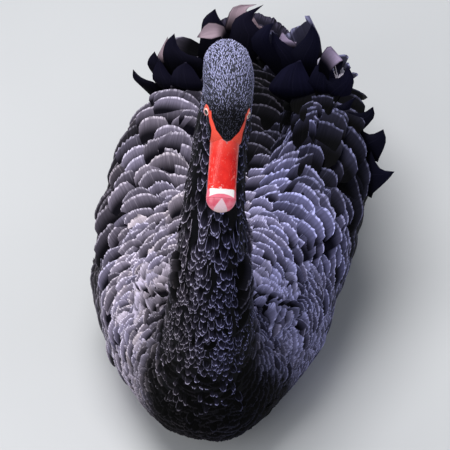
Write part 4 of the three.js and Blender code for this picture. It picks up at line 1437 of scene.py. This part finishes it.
def limb(form, line, side, around=16, along=40, flat=1.0):
    """Adds a rounded limb along a line of places and radii"""

    def place_at(share, angle, reach):
        here = line(share)
        way = Vector(line(min(share + 0.02, 1))[:3] - line(max(share - 0.02, 0))[:3]).normalized()
        over = Vector((0, 0, 1)).cross(way).normalized()
        offset = over * math.cos(angle) + way.cross(over) * math.sin(angle) * flat
        place = Vector(here[:3]) + offset * here[3] * min(1.0, reach * 3.2)
        return (side * place.x, place.y, max(place.z, 0))

    form.from_mesh(mesh_of(drawn_ball(around, along, place_at), "limb"))


foot_finish = Finish("leg skin", Roughness=0.5)
cell_inputs = {"Vector": foot_finish.node("ShaderNodeTexCoord", output="Object"), "Scale": 420.0}
cells = foot_finish.node("ShaderNodeTexVoronoi", cell_inputs, feature="DISTANCE_TO_EDGE")
wear = foot_finish.noise(60, 4)
scale_top = cells.step(0.02, 0.22)
skin_colour = foot_finish.mix(wear, "17161a", "3a383b")
foot_finish.feed("Base Color", foot_finish.mix(scale_top, "0b0a0c", skin_colour))
foot_finish.feed("Roughness", 0.62 - scale_top * 0.22)
foot_finish.bump(scale_top + foot_finish.noise(1500, 2) * 0.3, 0.6, 0.0008)

claw_finish = Finish("claw", Roughness=0.35)
claw_grain = claw_finish.noise(400, 3)
claw_finish.feed("Base Color", claw_finish.mix(claw_grain, "0d0c0d", "2b2826"))
claw_finish.feed("Roughness", 0.28 + claw_grain * 0.25)
claw_finish.bump(claw_grain, 0.2, 0.0003)


def toe_line(tip):
    """A toe from the foot's base to its tip, thicker at its root and its three joints"""
    rows = []
    for share in np.linspace(0, 1, 13):
        x, y = (np.array(FOOT_BASE) * (1 - share) + np.array(tip) * share).tolist()
        joint = max(math.exp(-(((share - at) / 0.05) ** 2)) for at in (0.0, 0.36, 0.66, 0.9))
        radius = 4.6 - 1.5 * share + 0.7 * joint
        rows.append([share, x, y, radius * 0.86, radius])
    return through(rows)


def in_metres(form, name):
    """A mesh from a form that was drawn in millimetres"""
    bmesh.ops.recalc_face_normals(form, faces=form.faces)
    bmesh.ops.scale(form, vec=(0.001, 0.001, 0.001), verts=form.verts)
    return mesh_of(form, name)


for name, side in SIDES.items():
    leg = bmesh.new()
    limb(leg, LEG_LINE, side, around=24, along=56)
    leg_mesh = in_metres(leg, f"shank_{name}")
    finished(leg_mesh, foot_finish.material, "leg_skin", [f"leg_{name}"])
    toes = bmesh.new()
    for tip in TOE_TIPS:
        limb(toes, toe_line(tip), side, flat=0.86)
    web = set(bmesh.ops.create_grid(toes, x_segments=40, y_segments=24, size=1)["verts"])
    base = Vector((*FOOT_BASE, 0))
    for vert in web:
        out = (1 - vert.co.y) / 2
        place = vert.co.x + 1
        first = min(int(place), 1)
        part = place - first
        edge = Vector((*TOE_TIPS[first], 0)).lerp(Vector((*TOE_TIPS[first + 1], 0)), part)
        scallop = 14 * math.sin(math.pi * part)
        edge.y += 5 + scallop
        spot = base.lerp(edge, 0.12 + 0.88 * out)
        fold = 0.5 * math.sin(part * math.pi * 5) * out
        vert.co = (side * spot.x, spot.y, WEB_HEIGHT + fold - 0.8 * math.sin(math.pi * part) * out)
    sheet = [face for face in toes.faces if web.issuperset(face.verts)]
    bmesh.ops.recalc_face_normals(toes, faces=sheet)
    bmesh.ops.solidify(toes, geom=sheet, thickness=WEB_THICKNESS)
    claws = bmesh.new()
    for tip in np.array(TOE_TIPS):
        direction = (tip - FOOT_BASE) / np.linalg.norm(tip - FOOT_BASE)
        start = tip - direction * CLAW_SINK
        end = start + direction * CLAW_LENGTH
        middle = (start + end) / 2
        claw_line = through(
            [
                [0, start[0], start[1], 4.2, 2.3],
                [0.5, middle[0], middle[1], 4.4, 1.9],
                [1, end[0], end[1], 1.6, 0.6],
            ]
        )
        limb(claws, claw_line, side, around=12, along=20)
    toes_mesh = in_metres(toes, f"toes_{name}")
    finished(toes_mesh, foot_finish.material, "leg_skin", [f"foot_{name}"])
    claws_mesh = in_metres(claws, f"claws_{name}")
    finished(claws_mesh, claw_finish.material, "leg_skin")


# Floor and lights: a pale, matt studio floor that the bird rests on, a wide soft light overhead
# and a weaker one ahead of it to its right, under an even, slightly blue sky.
floor_form = bmesh.new()
bmesh.ops.create_grid(floor_form, x_segments=2, y_segments=2, size=6)
floor = bpy.data.objects.new("floor", mesh_of(floor_form, "floor"))
bpy.context.scene.collection.objects.link(floor)
floor_finish = Finish("pale floor", Roughness=0.8)
floor_finish.feed("Base Color", floor_finish.mix(floor_finish.noise(3), "c9cacb", "d2d3d4"))
floor.data.materials.append(floor_finish.material)


def soft_light(name, place, size, power):
    lamp = bpy.data.lights.new(name, "AREA")
    lamp.shape = "DISK"
    lamp.size = size
    lamp.energy = power
    lamp_object = bpy.data.objects.new(name, lamp)
    lamp_object.location = place
    towards = Vector((0, 0, 0.2)) - Vector(place)
    lamp_object.rotation_euler = towards.to_track_quat("-Z", "Y").to_euler()
    bpy.context.scene.collection.objects.link(lamp_object)


soft_light("overhead", (-0.5, 0.2, 2.6), 1.8, 60)
soft_light("ahead", (-0.9, -2.2, 1.9), 1.5, 22)
world = bpy.data.worlds.new("studio")
world.use_nodes = True
world.node_tree.nodes["Background"].inputs["Color"].default_value = (0.85, 0.9, 1.0, 1)
world.node_tree.nodes["Background"].inputs["Strength"].default_value = 0.35
bpy.context.scene.world = world
bpy.context.scene.view_settings.view_transform = "Standard"
